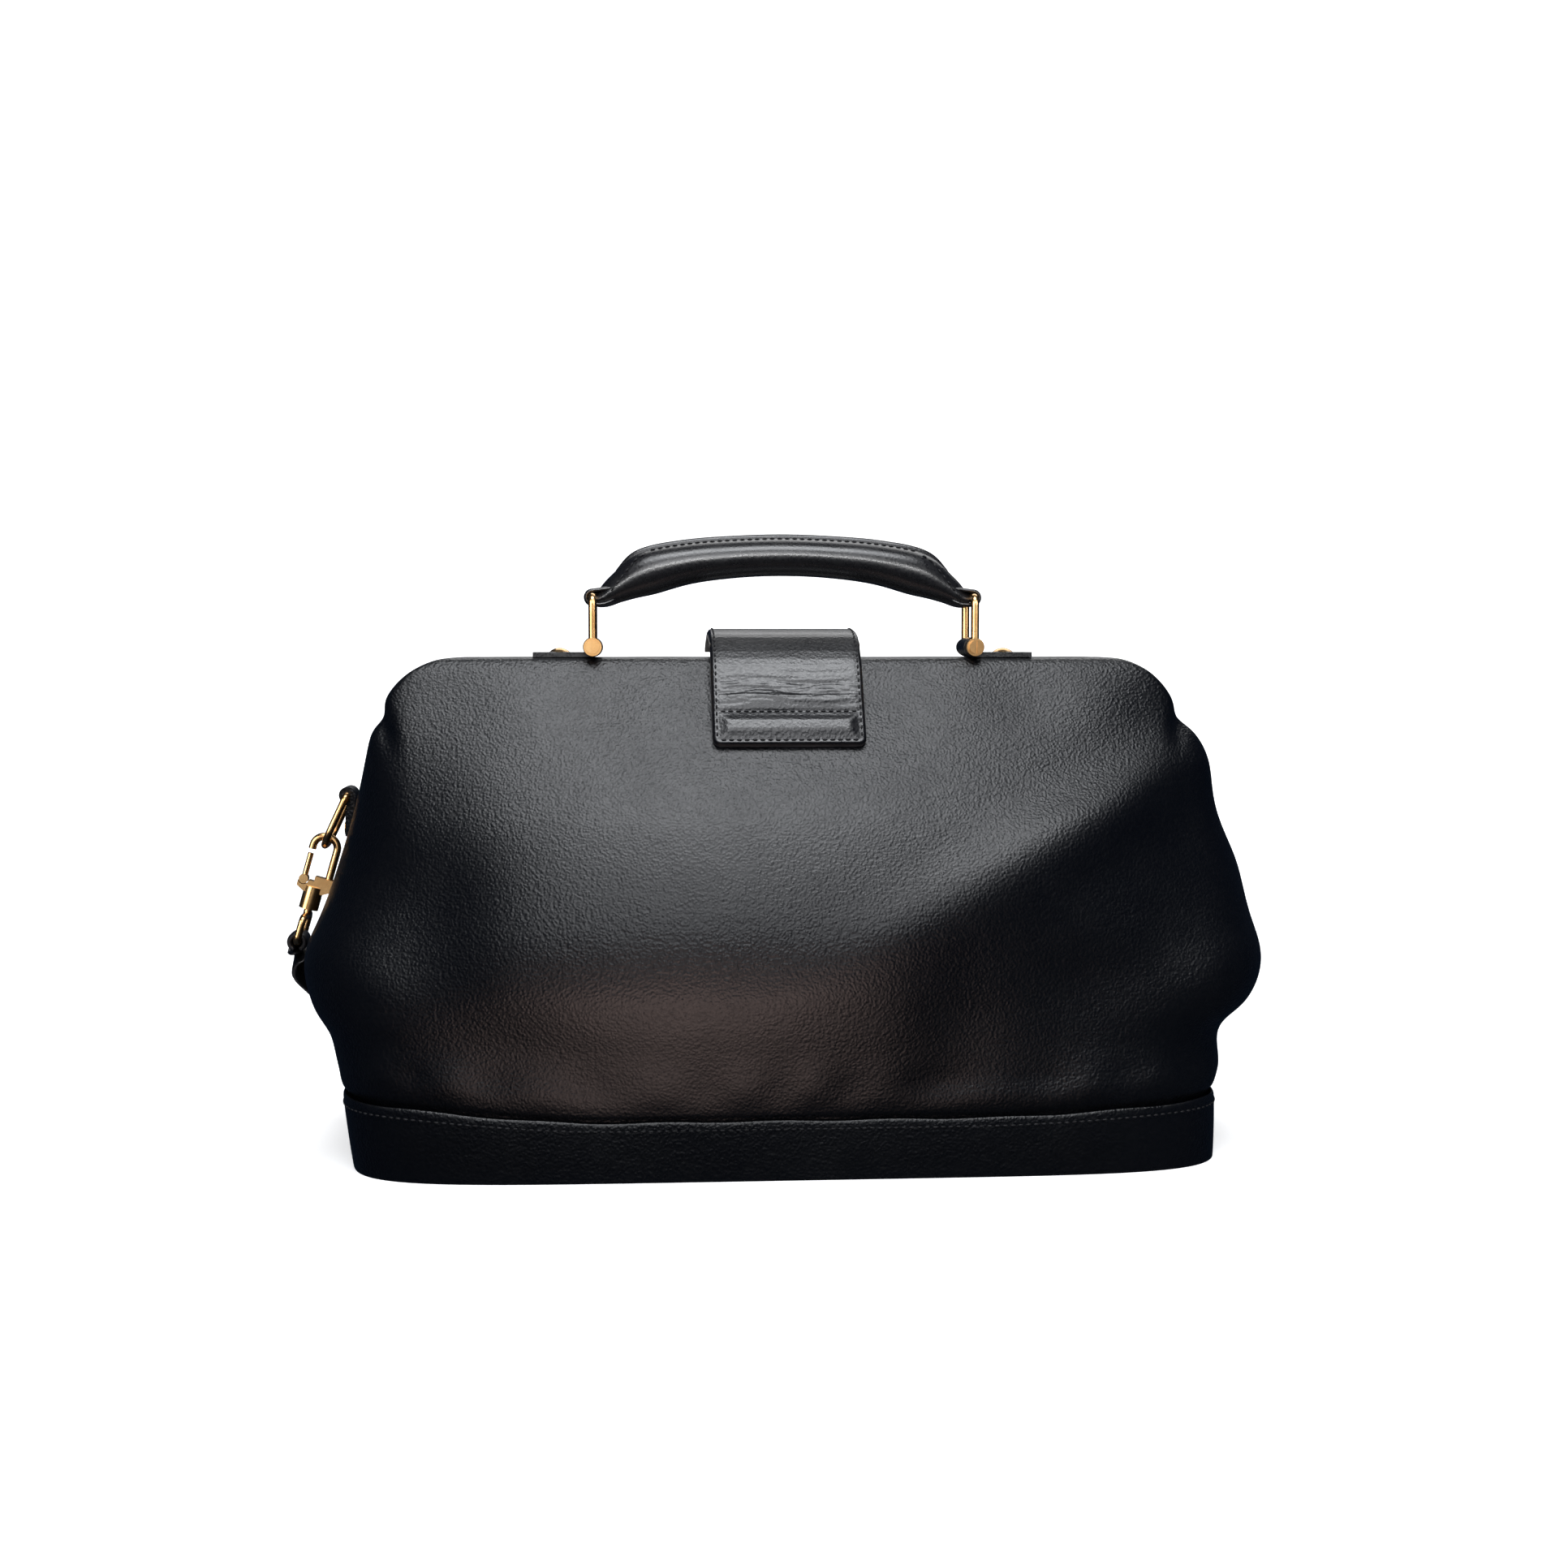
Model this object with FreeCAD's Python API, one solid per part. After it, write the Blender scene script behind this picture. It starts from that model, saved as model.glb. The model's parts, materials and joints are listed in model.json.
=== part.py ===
"""Leather doctor bag on a hinged steel frame, with a carrying handle, a closure strap and a shoulder strap.

Millimetres.  The origin is the centre of the footprint on the floor, +Z is up and +X runs along the
bag's length.  The front (-Y) is the side that the closure strap is sewn to.
"""
import FreeCAD, Part
import math
import os

# ---- base ------------------------------------------------------------------------------------
BASE_HALF_X = 171.0
BASE_HALF_Y = 85.0
BASE_CORNER = 55.0
FOOT_HEIGHT = 2.5
FOOT_RADIUS = 6.5
FOOT_X, FOOT_Y = 118.0, 55.0
BAND_TOP = 28.0
LEATHER = 2.2                 # thickness of the body leather
SHOULDER = 2.0                # thickness of the softer leather at the mouth
BOARD = 3.5
BOARD_Z = 6.6
BOARD_INSET = 6.0
RIVET_R = 1.5
RIVET_HOLE_R = 1.55
SEAM_GAP = 0.15               # between two pieces of leather that are sewn edge to edge
FAR = 300.0                   # a reach beyond the whole bag, for cutters

# ---- soft body: height, half length, half depth and corner of each level, up to the hinge line -----
BODY_LEVELS = [
    (7.0, 168.6, 82.6, BASE_CORNER),
    (28.5, 168.6, 82.6, BASE_CORNER),
    (45.0, 172.0, 86.0, BASE_CORNER),
    (65.0, 184.5, 90.0, BASE_CORNER),
    (84.0, 187.5, 91.0, BASE_CORNER),
    (110.0, 179.0, 86.0, BASE_CORNER),
    (136.0, 172.5, 74.0, BASE_CORNER),
]
# ---- soft shoulders, carried by the frame halves ------------------------------------------------
SHOULDER_LEVELS = [
    (146.0, 162.0, 66.0, 52.0),
    (160.0, 161.0, 54.0, 46.0),
    (172.0, 158.5, 44.5, 38.0),
    (185.0, 154.0, 33.5, 29.0),
    (196.0, 146.0, 27.0, 22.0),
]
LINER_GAP = 0.5               # between the leather and the lining
LINER = 1.0
SIDE_SEAM_X = 150.0           # seam between the large panels and the side gussets
SIDE_BOW = 3.0

# ---- frame ---------------------------------------------------------------------------------------
FRAME_TOP = 203.0
FRAME_CORNER_X = 132.5        # centre of the rounded frame corner
FRAME_CORNER_Z = 175.0
FRAME_CORNER_R = 28.0
FRAME_SPLAY = math.radians(14.5)
FRAME_DEPTH = 24.0            # depth of one half's top flange
HINGE_Z = 142.0
COVER = 1.8                   # leather wrapped over the steel
STEEL = 2.0
STEEL_INSET = 2.0
STEEL_Y = (2.0, 20.0)
FACING_INSET = 4.2
FACING = 1.4
STEEL_FOOT_Z = 150.0          # lower end of the arch's arms, for each layer
COVER_FOOT_Z = 156.0
FACING_FOOT_Z = 165.0
FRAME_RIVET_X = (-118.0, -48.0, 48.0, 118.0)
FRAME_RIVET_Y = 11.0
FRAME_RIVET_R = 1.4
FRAME_RIVET_HOLE_R = 1.45
FRAME_RIVET_HEAD_R = 3.0

# ---- hinge stack along X, from the inside out -------------------------------------------------------
HINGE_PIN_R = 2.2
RUNNING_GAP = 0.06
HINGE_HEAD_IN = (160.9, 163.1)
HINGE_EYE_BACK = (163.4, 164.9)
HINGE_EYE_FRONT = (165.2, 166.7)
HINGE_WASHER = (166.9, 167.6)
HINGE_HEAD_OUT = (171.6, 173.2)
HINGE_EYE_R = 6.0
HINGE_HEAD_R = 3.6
HINGE_WASHER_R = 4.5

# ---- handle --------------------------------------------------------------------------------------
HANDLE_Y = -12.0
LINK_X = 77.0
LINK_PIN_Z = 207.2
LINK_BAR_Z = 227.2
LINK_SPREAD = 12.5            # half the distance between the legs of a link
LINK_WIRE = 1.65
LINK_EYE_R = 3.6
LINK_PIN_R = 1.9
CHAPE_ROLL_R = 4.0
CHAPE_HALF_Y = 9.0
CHAPE_END_X = 101.0
STUD_X = 90.5
STUD_HEAD_R = 4.2
STUD_DOME_R = 6.0
STUD_DOME_RISE = 1.7
GRIP_END_X = 66.0
GRIP_END_Z = 233.5
GRIP_TOP_Z = 252.6
GRIP_HALF_Z = 8.0
GRIP_HALF_Y = 11.0

# ---- closure strap ---------------------------------------------------------------------------------
STRAP_HALF_X = 30.3
STRAP_R_IN = 69.0             # the strap's arch is concentric with the frame hinge, so the halves pass under it
STRAP_R_OUT = 73.0
STRAP_BEND_DEG = -22.0        # where the arch begins, measured from straight up
STRAP_END_DEG = 24.0
STRAP_FOOT = (-51.0, 168.5)   # lower end of the sewn part, in Y and Z
BUTTON_DEG = 11.3
BUTTON_R = 7.0

# ---- side rings, snap hooks and shoulder strap --------------------------------------------------------
RING_X, RING_Y, RING_Z = 178.0, 10.0, 146.5
RING_WIRE = 1.45
RING_LENGTH = 23.0
RING_HALF = 10.5
RING_ROLL_R = 3.4
CHAPE_RIVET_Z = 132.5
HOOK_WIRE = 1.6
HOOK_HALF = 5.0
EYE_BAR = 41.0                # from the ring's lower bar to the bar that carries the strap
SHOULDER_HALF_WIDTH = 9.0
SHOULDER_THICK = 3.0
# side name: direction of X, angle of the ring and angle of the hook, outwards from straight down
SIDES = {"left": (-1, 25.0, 16.0), "right": (1, 13.0, 16.0)}


def vec(x, y, z):
    return FreeCAD.Vector(x, y, z)


def export(name, *solids):
    shape = solids[0] if len(solids) == 1 else Part.makeCompound(list(solids))
    shape.exportStep(f"parts/{name}.step")


def box(x, y, z):
    """A box from three (low, high) pairs."""
    low = [min(pair) for pair in (x, y, z)]
    size = [abs(pair[1] - pair[0]) for pair in (x, y, z)]
    return Part.makeBox(*size, vec(*low))


def cylinder(start, end, radius):
    axis = end - start
    return Part.makeCylinder(radius, axis.Length, start, axis)


def side_hole(side, y, z, radius):
    """A cutter along X through one side of the bag."""
    return cylinder(vec(side * 140, y, z), vec(side * 200, y, z), radius)


def extrude(points, push):
    """A prism over a flat polygon."""
    return Part.Face(Part.makePolygon([*points, points[0]])).extrude(push)


def rounded_path(points, bends, closed=False):
    """A wire of straight runs, with an arc of the given radius at each turn."""
    count = len(points)
    turns = range(count) if closed else range(1, count - 1)
    cuts = {}
    for i in turns:
        here = points[i]
        before = (points[i - 1] - here).normalize()
        after = (points[(i + 1) % count] - here).normalize()
        half = before.getAngle(after) / 2
        reach = bends[i] / math.tan(half)
        middle = (before + after).normalize()
        crown = here + middle * (bends[i] / math.sin(half) - bends[i])
        cuts[i] = (here + before * reach, crown, here + after * reach)
    edges = []
    for i in range(count if closed else count - 1):
        j = (i + 1) % count
        start = cuts[i][2] if i in cuts else points[i]
        end = cuts[j][0] if j in cuts else points[j]
        if (end - start).Length > 1e-6:
            edges.append(Part.makeLine(start, end))
        if j in cuts:
            edges.append(Part.Arc(*cuts[j]).toShape())
    return Part.Wire(edges)


def rod(points, radius, bends, closed=False):
    """Round wire bent along a path."""
    path = rounded_path(points, bends, closed)
    first = path.OrderedEdges[0]
    start = first.valueAt(first.FirstParameter)
    along = first.tangentAt(first.FirstParameter)
    circle = Part.Wire(Part.makeCircle(radius, start, along))
    return Part.Solid(path.makePipeShell([circle], True, True))


def level(z, half_x, half_y, corner, bow):
    """A closed outline at one height: bowed long sides, nearly flat short sides and four round corners."""
    flat_x, flat_y = half_x - bow / 4, half_y - bow
    diagonal = corner * math.cos(math.pi / 4)
    edges = []
    for turn in range(4):
        sign_x, sign_y = [(1, 1), (-1, 1), (-1, -1), (1, -1)][turn]
        along_x = vec(sign_x * (flat_x - corner), sign_y * flat_y, z)
        along_y = vec(sign_x * flat_x, sign_y * (flat_y - corner), z)
        crown = vec(sign_x * (flat_x - corner + diagonal), sign_y * (flat_y - corner + diagonal), z)
        start, end = (along_y, along_x) if turn % 2 == 0 else (along_x, along_y)
        edges.append(Part.Arc(start, crown, end).toShape())
        if turn % 2 == 0:
            middle, far = vec(0, sign_y * half_y, z), vec(-end.x, end.y, z)
        else:
            middle, far = vec(sign_x * half_x, 0, z), vec(end.x, -end.y, z)
        edges.append(Part.Arc(end, middle, far).toShape())
    return Part.Wire(edges)


def stack(levels, inset, bow=SIDE_BOW):
    """A solid through the outlines of several levels, all drawn in by the same inset."""
    wires = [level(z, hx - inset, hy - inset, corner - inset, bow) for z, hx, hy, corner in levels]
    return Part.makeLoft(wires, True, True)


def half_length(z):
    """Half length of the soft body at one height."""
    for (z0, x0, *_), (z1, x1, *_) in zip(BODY_LEVELS, BODY_LEVELS[1:]):
        if z0 <= z <= z1:
            return x0 + (x1 - x0) * (z - z0) / (z1 - z0)
    return BODY_LEVELS[-1][1]


def frame_outline(inset, foot):
    """Points and arcs of the frame's arch in the XZ plane, from the left foot to the right foot."""
    radius = FRAME_CORNER_R - inset
    cos, sin = math.cos(FRAME_SPLAY), math.sin(FRAME_SPLAY)
    knee = (FRAME_CORNER_X + radius * cos, FRAME_CORNER_Z + radius * sin)
    half = (math.pi / 2 + FRAME_SPLAY) / 2
    crown = (FRAME_CORNER_X + radius * math.cos(half), FRAME_CORNER_Z + radius * math.sin(half))
    foot_x = knee[0] + (knee[1] - foot) * math.tan(FRAME_SPLAY)
    top = FRAME_CORNER_Z + radius
    return (foot_x, foot), knee, crown, (FRAME_CORNER_X, top)


def frame_band(outer, inner, foot, y):
    """The part of the arch between two insets, over one range of Y."""
    a_foot, a_knee, a_crown, a_top = frame_outline(outer, foot)
    b_foot, b_knee, b_crown, b_top = frame_outline(inner, foot)

    def at(point, side):
        return vec(side * point[0], y[0], point[1])

    def arc(start, crown, end, side_a, side_b):
        return Part.Arc(at(start, side_a), at(crown, side_a), at(end, side_b)).toShape()

    edges = [
        Part.makeLine(at(a_foot, 1), at(a_knee, 1)),
        arc(a_knee, a_crown, a_top, 1, 1),
        Part.makeLine(at(a_top, 1), at(a_top, -1)),
        arc(a_top, a_crown, a_knee, -1, -1),
        Part.makeLine(at(a_knee, -1), at(a_foot, -1)),
        Part.makeLine(at(a_foot, -1), at(b_foot, -1)),
        Part.makeLine(at(b_foot, -1), at(b_knee, -1)),
        arc(b_knee, b_crown, b_top, -1, -1),
        Part.makeLine(at(b_top, -1), at(b_top, 1)),
        arc(b_top, b_crown, b_knee, 1, 1),
        Part.makeLine(at(b_knee, 1), at(b_foot, 1)),
        Part.makeLine(at(b_foot, 1), at(a_foot, 1)),
    ]
    return Part.Face(Part.Wire(edges)).extrude(vec(0, y[1] - y[0], 0))


def ribbon(centres, half_width, thick):
    """A flat strap along a path; its faces stay upright, so that it can stand on its edge."""
    wires = []
    for i, centre in enumerate(centres):
        ahead = centres[min(i + 1, len(centres) - 1)]
        behind = centres[max(i - 1, 0)]
        along = (ahead - behind).normalize()
        normal = along.cross(vec(0, 0, 1)).normalize()
        across = normal.cross(along).normalize()
        w, n = across * half_width, normal * (thick / 2)
        corners = [centre + w + n, centre - w + n, centre - w - n, centre + w - n]
        wires.append(Part.makePolygon([*corners, corners[0]]))
    return Part.makeLoft(wires, True, True)


def build_base():
    foot_spots = [(sx * FOOT_X, sy * FOOT_Y) for sx in (-1, 1) for sy in (-1, 1)]
    feet, holes = [], []
    for x, y in foot_spots:
        disc = Part.makeCone(FOOT_RADIUS - 1.0, FOOT_RADIUS, FOOT_HEIGHT - 0.1, vec(x, y, 0))
        stem_top = BOARD_Z + BOARD - 1.0
        stem = cylinder(vec(x, y, 1.0), vec(x, y, stem_top), RIVET_R)
        feet.append(disc.fuse(stem).removeSplitter())
        holes.append(cylinder(vec(x, y, 0), vec(x, y, stem_top + 0.1), RIVET_HOLE_R))
    tuck = LEATHER + 0.4
    sheet = level(FOOT_HEIGHT, BASE_HALF_X - tuck, BASE_HALF_Y - tuck, BASE_CORNER - tuck, SIDE_BOW)
    base_leather = Part.Face(sheet).extrude(vec(0, 0, LEATHER))
    board_outline = level(BOARD_Z, BASE_HALF_X - BOARD_INSET, BASE_HALF_Y - BOARD_INSET, BASE_CORNER, SIDE_BOW)
    board = Part.Face(board_outline).extrude(vec(0, 0, BOARD))
    for hole in holes:
        base_leather = base_leather.cut(hole)
        board = board.cut(hole)
    band_levels = [
        (FOOT_HEIGHT, BASE_HALF_X - 1.5, BASE_HALF_Y - 1.5, BASE_CORNER),
        (FOOT_HEIGHT + 3.5, BASE_HALF_X, BASE_HALF_Y, BASE_CORNER),
        (BAND_TOP, BASE_HALF_X, BASE_HALF_Y, BASE_CORNER),
    ]
    band = stack(band_levels, 0.0)
    hollow = level(0, BASE_HALF_X - LEATHER, BASE_HALF_Y - LEATHER, BASE_CORNER - LEATHER, SIDE_BOW)
    band = band.cut(Part.Face(hollow).extrude(vec(0, 0, BAND_TOP + 1)))
    export("base_feet", *feet)
    export("base_leather", base_leather)
    export("base_board", board)
    export("base_band", band)


def build_body():
    """Front, back and side leather below the hinge line, with the lining inside."""
    shell = stack(BODY_LEVELS, 0.0).cut(stack(BODY_LEVELS, LEATHER))
    height = (0, BODY_LEVELS[-1][0] + 1)
    for name, sign in (("front", -1), ("back", 1)):
        middle = box((-SIDE_SEAM_X + SEAM_GAP, SIDE_SEAM_X - SEAM_GAP), (0, sign * FAR), height)
        export(f"{name}_panel", shell.common(middle))
    for name, (side, _, _) in SIDES.items():
        end = box((side * (SIDE_SEAM_X + SEAM_GAP), side * FAR), (-FAR, FAR), height)
        tongue_points = [(168.0, 149.0), (170.2, 134.5), (172.2, 134.5), (170.0, 149.0)]
        tongue = extrude([vec(side * x, -6.9, z) for x, z in tongue_points], vec(0, 13.8, 0))
        gusset = shell.common(end).fuse(tongue).removeSplitter()
        pin_hole = side_hole(side, 0, HINGE_Z, HINGE_PIN_R + RUNNING_GAP)
        rivet_hole = side_hole(side, RING_Y, CHAPE_RIVET_Z, RIVET_HOLE_R)
        export(f"gusset_{name}", gusset.cut(pin_hole).cut(rivet_hole))
    outer, inner = LEATHER + LINER_GAP, LEATHER + LINER_GAP + LINER
    liner_levels = [(BOARD_Z + BOARD + 0.2, *BODY_LEVELS[0][1:]), *BODY_LEVELS[1:]]
    floor_levels = [(liner_levels[0][0] + LINER, *BODY_LEVELS[0][1:]), *BODY_LEVELS[1:]]
    liner = stack(liner_levels, outer).cut(stack(floor_levels, inner))
    for side in (-1, 1):
        liner = liner.cut(side_hole(side, RING_Y, CHAPE_RIVET_Z, 5.0))
    export("lining", liner)


def build_frame():
    """Two hinged steel arches, each with its leather cover, inner facing, rivets and shoulder leather."""
    top_steel = FRAME_TOP - STEEL_INSET
    shoulder = stack(SHOULDER_LEVELS, 0.0, 1.0).cut(stack(SHOULDER_LEVELS, SHOULDER, 1.0))
    for name, sign, eye_x in (("front", -1, HINGE_EYE_FRONT), ("back", 1, HINGE_EYE_BACK)):
        near, far = sign * STEEL_Y[0], sign * STEEL_Y[1]
        steel = frame_band(STEEL_INSET, STEEL_INSET + STEEL, STEEL_FOOT_Z, (near, far))
        for side in (-1, 1):
            neck = [(sign * -3.0, 147.0), (sign * 3.0, 137.2), (far, 148.5), (far, 154.5), (near, 154.5)]
            plate = extrude([vec(side * eye_x[0], y, z) for y, z in neck], vec(side * (eye_x[1] - eye_x[0]), 0, 0))
            eye = cylinder(vec(side * eye_x[0], 0, HINGE_Z), vec(side * eye_x[1], 0, HINGE_Z), HINGE_EYE_R)
            steel = steel.fuse(plate).fuse(eye).cut(side_hole(side, 0, HINGE_Z, HINGE_PIN_R + RUNNING_GAP))
        cover = frame_band(0, COVER, COVER_FOOT_Z, (sign * 1.0, sign * FRAME_DEPTH))
        lip = frame_band(COVER - 0.1, 8.0, COVER_FOOT_Z, (sign * (FRAME_DEPTH - COVER), sign * FRAME_DEPTH))
        cover = cover.fuse(lip)
        facing = frame_band(FACING_INSET, FACING_INSET + FACING, FACING_FOOT_Z, (near, far))
        rivets = []
        for x in FRAME_RIVET_X:
            y = sign * FRAME_RIVET_Y
            under = FRAME_TOP - FACING_INSET - FACING - 1.3
            head = cylinder(vec(x, y, under), vec(x, y, under + 1.2), FRAME_RIVET_HEAD_R)
            shank = cylinder(vec(x, y, under + 0.5), vec(x, y, top_steel), FRAME_RIVET_R)
            rivets.append(head.fuse(shank).removeSplitter())
            hole = cylinder(vec(x, y, under), vec(x, y, top_steel + 0.1), FRAME_RIVET_HOLE_R)
            steel = steel.cut(hole)
            facing = facing.cut(hole)
        if sign < 0:
            for x in (-STUD_X, STUD_X):
                hole = cylinder(vec(x, HANDLE_Y, 190), vec(x, HANDLE_Y, 210), RIVET_HOLE_R)
                steel, cover, facing = steel.cut(hole), cover.cut(hole), facing.cut(hole)
        outer_side = box((-FAR, FAR), (sign * (FRAME_DEPTH + 2 * SEAM_GAP), sign * FAR), (100, FAR))
        export(f"frame_steel_{name}", steel.removeSplitter())
        export(f"frame_cover_{name}", cover.removeSplitter())
        export(f"frame_facing_{name}", facing)
        export(f"frame_rivets_{name}", *rivets)
        export(f"shoulder_{name}", shoulder.common(outer_side))


def build_hinges():
    for name, (side, _, _) in SIDES.items():
        def along(x):
            return vec(side * x, 0, HINGE_Z)
        inner = cylinder(along(HINGE_HEAD_IN[0]), along(HINGE_HEAD_IN[1]), HINGE_HEAD_R)
        outer = cylinder(along(HINGE_HEAD_OUT[0]), along(HINGE_HEAD_OUT[1]), HINGE_HEAD_R)
        shank = cylinder(along(HINGE_HEAD_IN[0]), along(HINGE_HEAD_OUT[1]), HINGE_PIN_R)
        export(f"hinge_pin_{name}", inner.fuse(outer).fuse(shank).removeSplitter())
        washer = cylinder(along(HINGE_WASHER[0]), along(HINGE_WASHER[1]), HINGE_WASHER_R)
        bore = cylinder(along(HINGE_WASHER[0]), along(HINGE_WASHER[1]), HINGE_PIN_R + RUNNING_GAP)
        export(f"hinge_washer_{name}", washer.cut(bore))


def build_handle():
    """Chapes riveted to the front frame half, two shackle links on screw pins, and the padded grip."""
    studs = []
    roll_y = (HANDLE_Y - CHAPE_HALF_Y, HANDLE_Y + CHAPE_HALF_Y)
    plate_z = (FRAME_TOP + 0.2, FRAME_TOP + 2.2)
    for name, side in (("left", -1), ("right", 1)):
        def at(x, y, z):
            return vec(side * x, y, z)
        roll = cylinder(at(LINK_X, roll_y[0], LINK_PIN_Z), at(LINK_X, roll_y[1], LINK_PIN_Z), CHAPE_ROLL_R)
        plate = box((side * LINK_X, side * CHAPE_END_X), roll_y, plate_z)
        pin_hole = cylinder(at(LINK_X, -40, LINK_PIN_Z), at(LINK_X, 20, LINK_PIN_Z), LINK_PIN_R + RUNNING_GAP)
        stud_hole = cylinder(at(STUD_X, HANDLE_Y, 195), at(STUD_X, HANDLE_Y, 210), RIVET_HOLE_R)
        export(f"handle_chape_{name}", roll.fuse(plate).cut(pin_hole).cut(stud_hole).removeSplitter())
        dome_base = at(STUD_X, HANDLE_Y, plate_z[1] + 0.05)
        dome = Part.makeSphere(STUD_DOME_R, dome_base + vec(0, 0, STUD_DOME_RISE - STUD_DOME_R))
        head = dome.common(Part.makeCylinder(STUD_HEAD_R, STUD_DOME_RISE, dome_base))
        shank = cylinder(at(STUD_X, HANDLE_Y, 197.5), dome_base + vec(0, 0, 0.5), RIVET_R)
        studs.append(head.fuse(shank).removeSplitter())

        leg_y = (HANDLE_Y - LINK_SPREAD, HANDLE_Y + LINK_SPREAD)
        legs = [at(LINK_X, leg_y[0], LINK_PIN_Z), at(LINK_X, leg_y[0], LINK_BAR_Z),
                at(LINK_X, leg_y[1], LINK_BAR_Z), at(LINK_X, leg_y[1], LINK_PIN_Z)]
        link = rod(legs, LINK_WIRE, [0, 3.0, 3.0, 0])
        for y in leg_y:
            link = link.fuse(cylinder(at(LINK_X, y - 1.8, LINK_PIN_Z), at(LINK_X, y + 1.8, LINK_PIN_Z), LINK_EYE_R))
        export(f"link_{name}", link.cut(pin_hole).removeSplitter())
        head_y = leg_y[0] - 1.8
        pin = cylinder(at(LINK_X, head_y, LINK_PIN_Z), at(LINK_X, leg_y[1] + 2.2, LINK_PIN_Z), LINK_PIN_R)
        screw_head = cylinder(at(LINK_X, head_y - 1.9, LINK_PIN_Z), at(LINK_X, head_y - 0.1, LINK_PIN_Z), 2.7)
        slot = box((side * (LINK_X - 0.4), side * (LINK_X + 0.4)), (head_y - 2, head_y - 1.1),
                   (LINK_PIN_Z - 4, LINK_PIN_Z + 4))
        neck = cylinder(at(LINK_X, head_y - 0.2, LINK_PIN_Z), at(LINK_X, head_y + 0.1, LINK_PIN_Z), LINK_PIN_R)
        export(f"link_pin_{name}", pin.fuse(neck).fuse(screw_head).cut(slot).removeSplitter())

        bar_r = LINK_WIRE + RUNNING_GAP
        loop_y = (HANDLE_Y - 8.5, HANDLE_Y + 8.5)
        loop = cylinder(at(LINK_X, loop_y[0], LINK_BAR_Z), at(LINK_X, loop_y[1], LINK_BAR_Z), LINK_WIRE + 2.6)
        tongue_points = [(LINK_X - 1, LINK_BAR_Z + 4.0), (LINK_X - 1, LINK_BAR_Z - 0.5),
                         (GRIP_END_X + 0.4, GRIP_END_Z - 4.6), (GRIP_END_X + 0.4, GRIP_END_Z - 0.5)]
        tongue = extrude([at(x, loop_y[0], z) for x, z in tongue_points], vec(0, loop_y[1] - loop_y[0], 0))
        bar_hole = cylinder(at(LINK_X, -40, LINK_BAR_Z), at(LINK_X, 20, LINK_BAR_Z), bar_r)
        export(f"handle_loop_{name}", loop.fuse(tongue).cut(bar_hole).removeSplitter())
    export("chape_studs", *studs)

    # the grip follows an arc through its ends and its top, thickest in the middle
    rise = (GRIP_TOP_Z - GRIP_HALF_Z) - GRIP_END_Z
    radius = (GRIP_END_X ** 2 + rise ** 2) / (2 * rise)
    centre_z = GRIP_END_Z + rise - radius
    sweep = math.asin(GRIP_END_X / radius)

    def grip(inset):
        wires = []
        stations = 8
        for i in range(stations + 1):
            share = 2 * i / stations - 1
            angle = share * sweep
            spot = vec(radius * math.sin(angle), HANDLE_Y, centre_z + radius * math.cos(angle))
            along = vec(math.cos(angle), 0, -math.sin(angle))
            fullness = 1 - 0.35 * share ** 2
            half_y = GRIP_HALF_Y * (1 - 0.2 * share ** 2) - inset
            half_z = GRIP_HALF_Z * fullness - inset
            ellipse = Part.Ellipse(vec(0, 0, 0), half_y, half_z).toShape()
            ellipse.Placement = FreeCAD.Placement(
                spot, FreeCAD.Rotation(vec(0, 1, 0), along.cross(vec(0, 1, 0)), along, "ZXY"))
            wires.append(Part.Wire(ellipse))
        return Part.makeLoft(wires, True)

    export("handle_core", grip(2.2))
    export("handle_grip", grip(0).cut(grip(2.0)))


def strap_point(radius, degrees, x=-STRAP_HALF_X):
    angle = math.radians(degrees)
    return vec(x, radius * math.sin(angle), HINGE_Z + radius * math.cos(angle))


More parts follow.
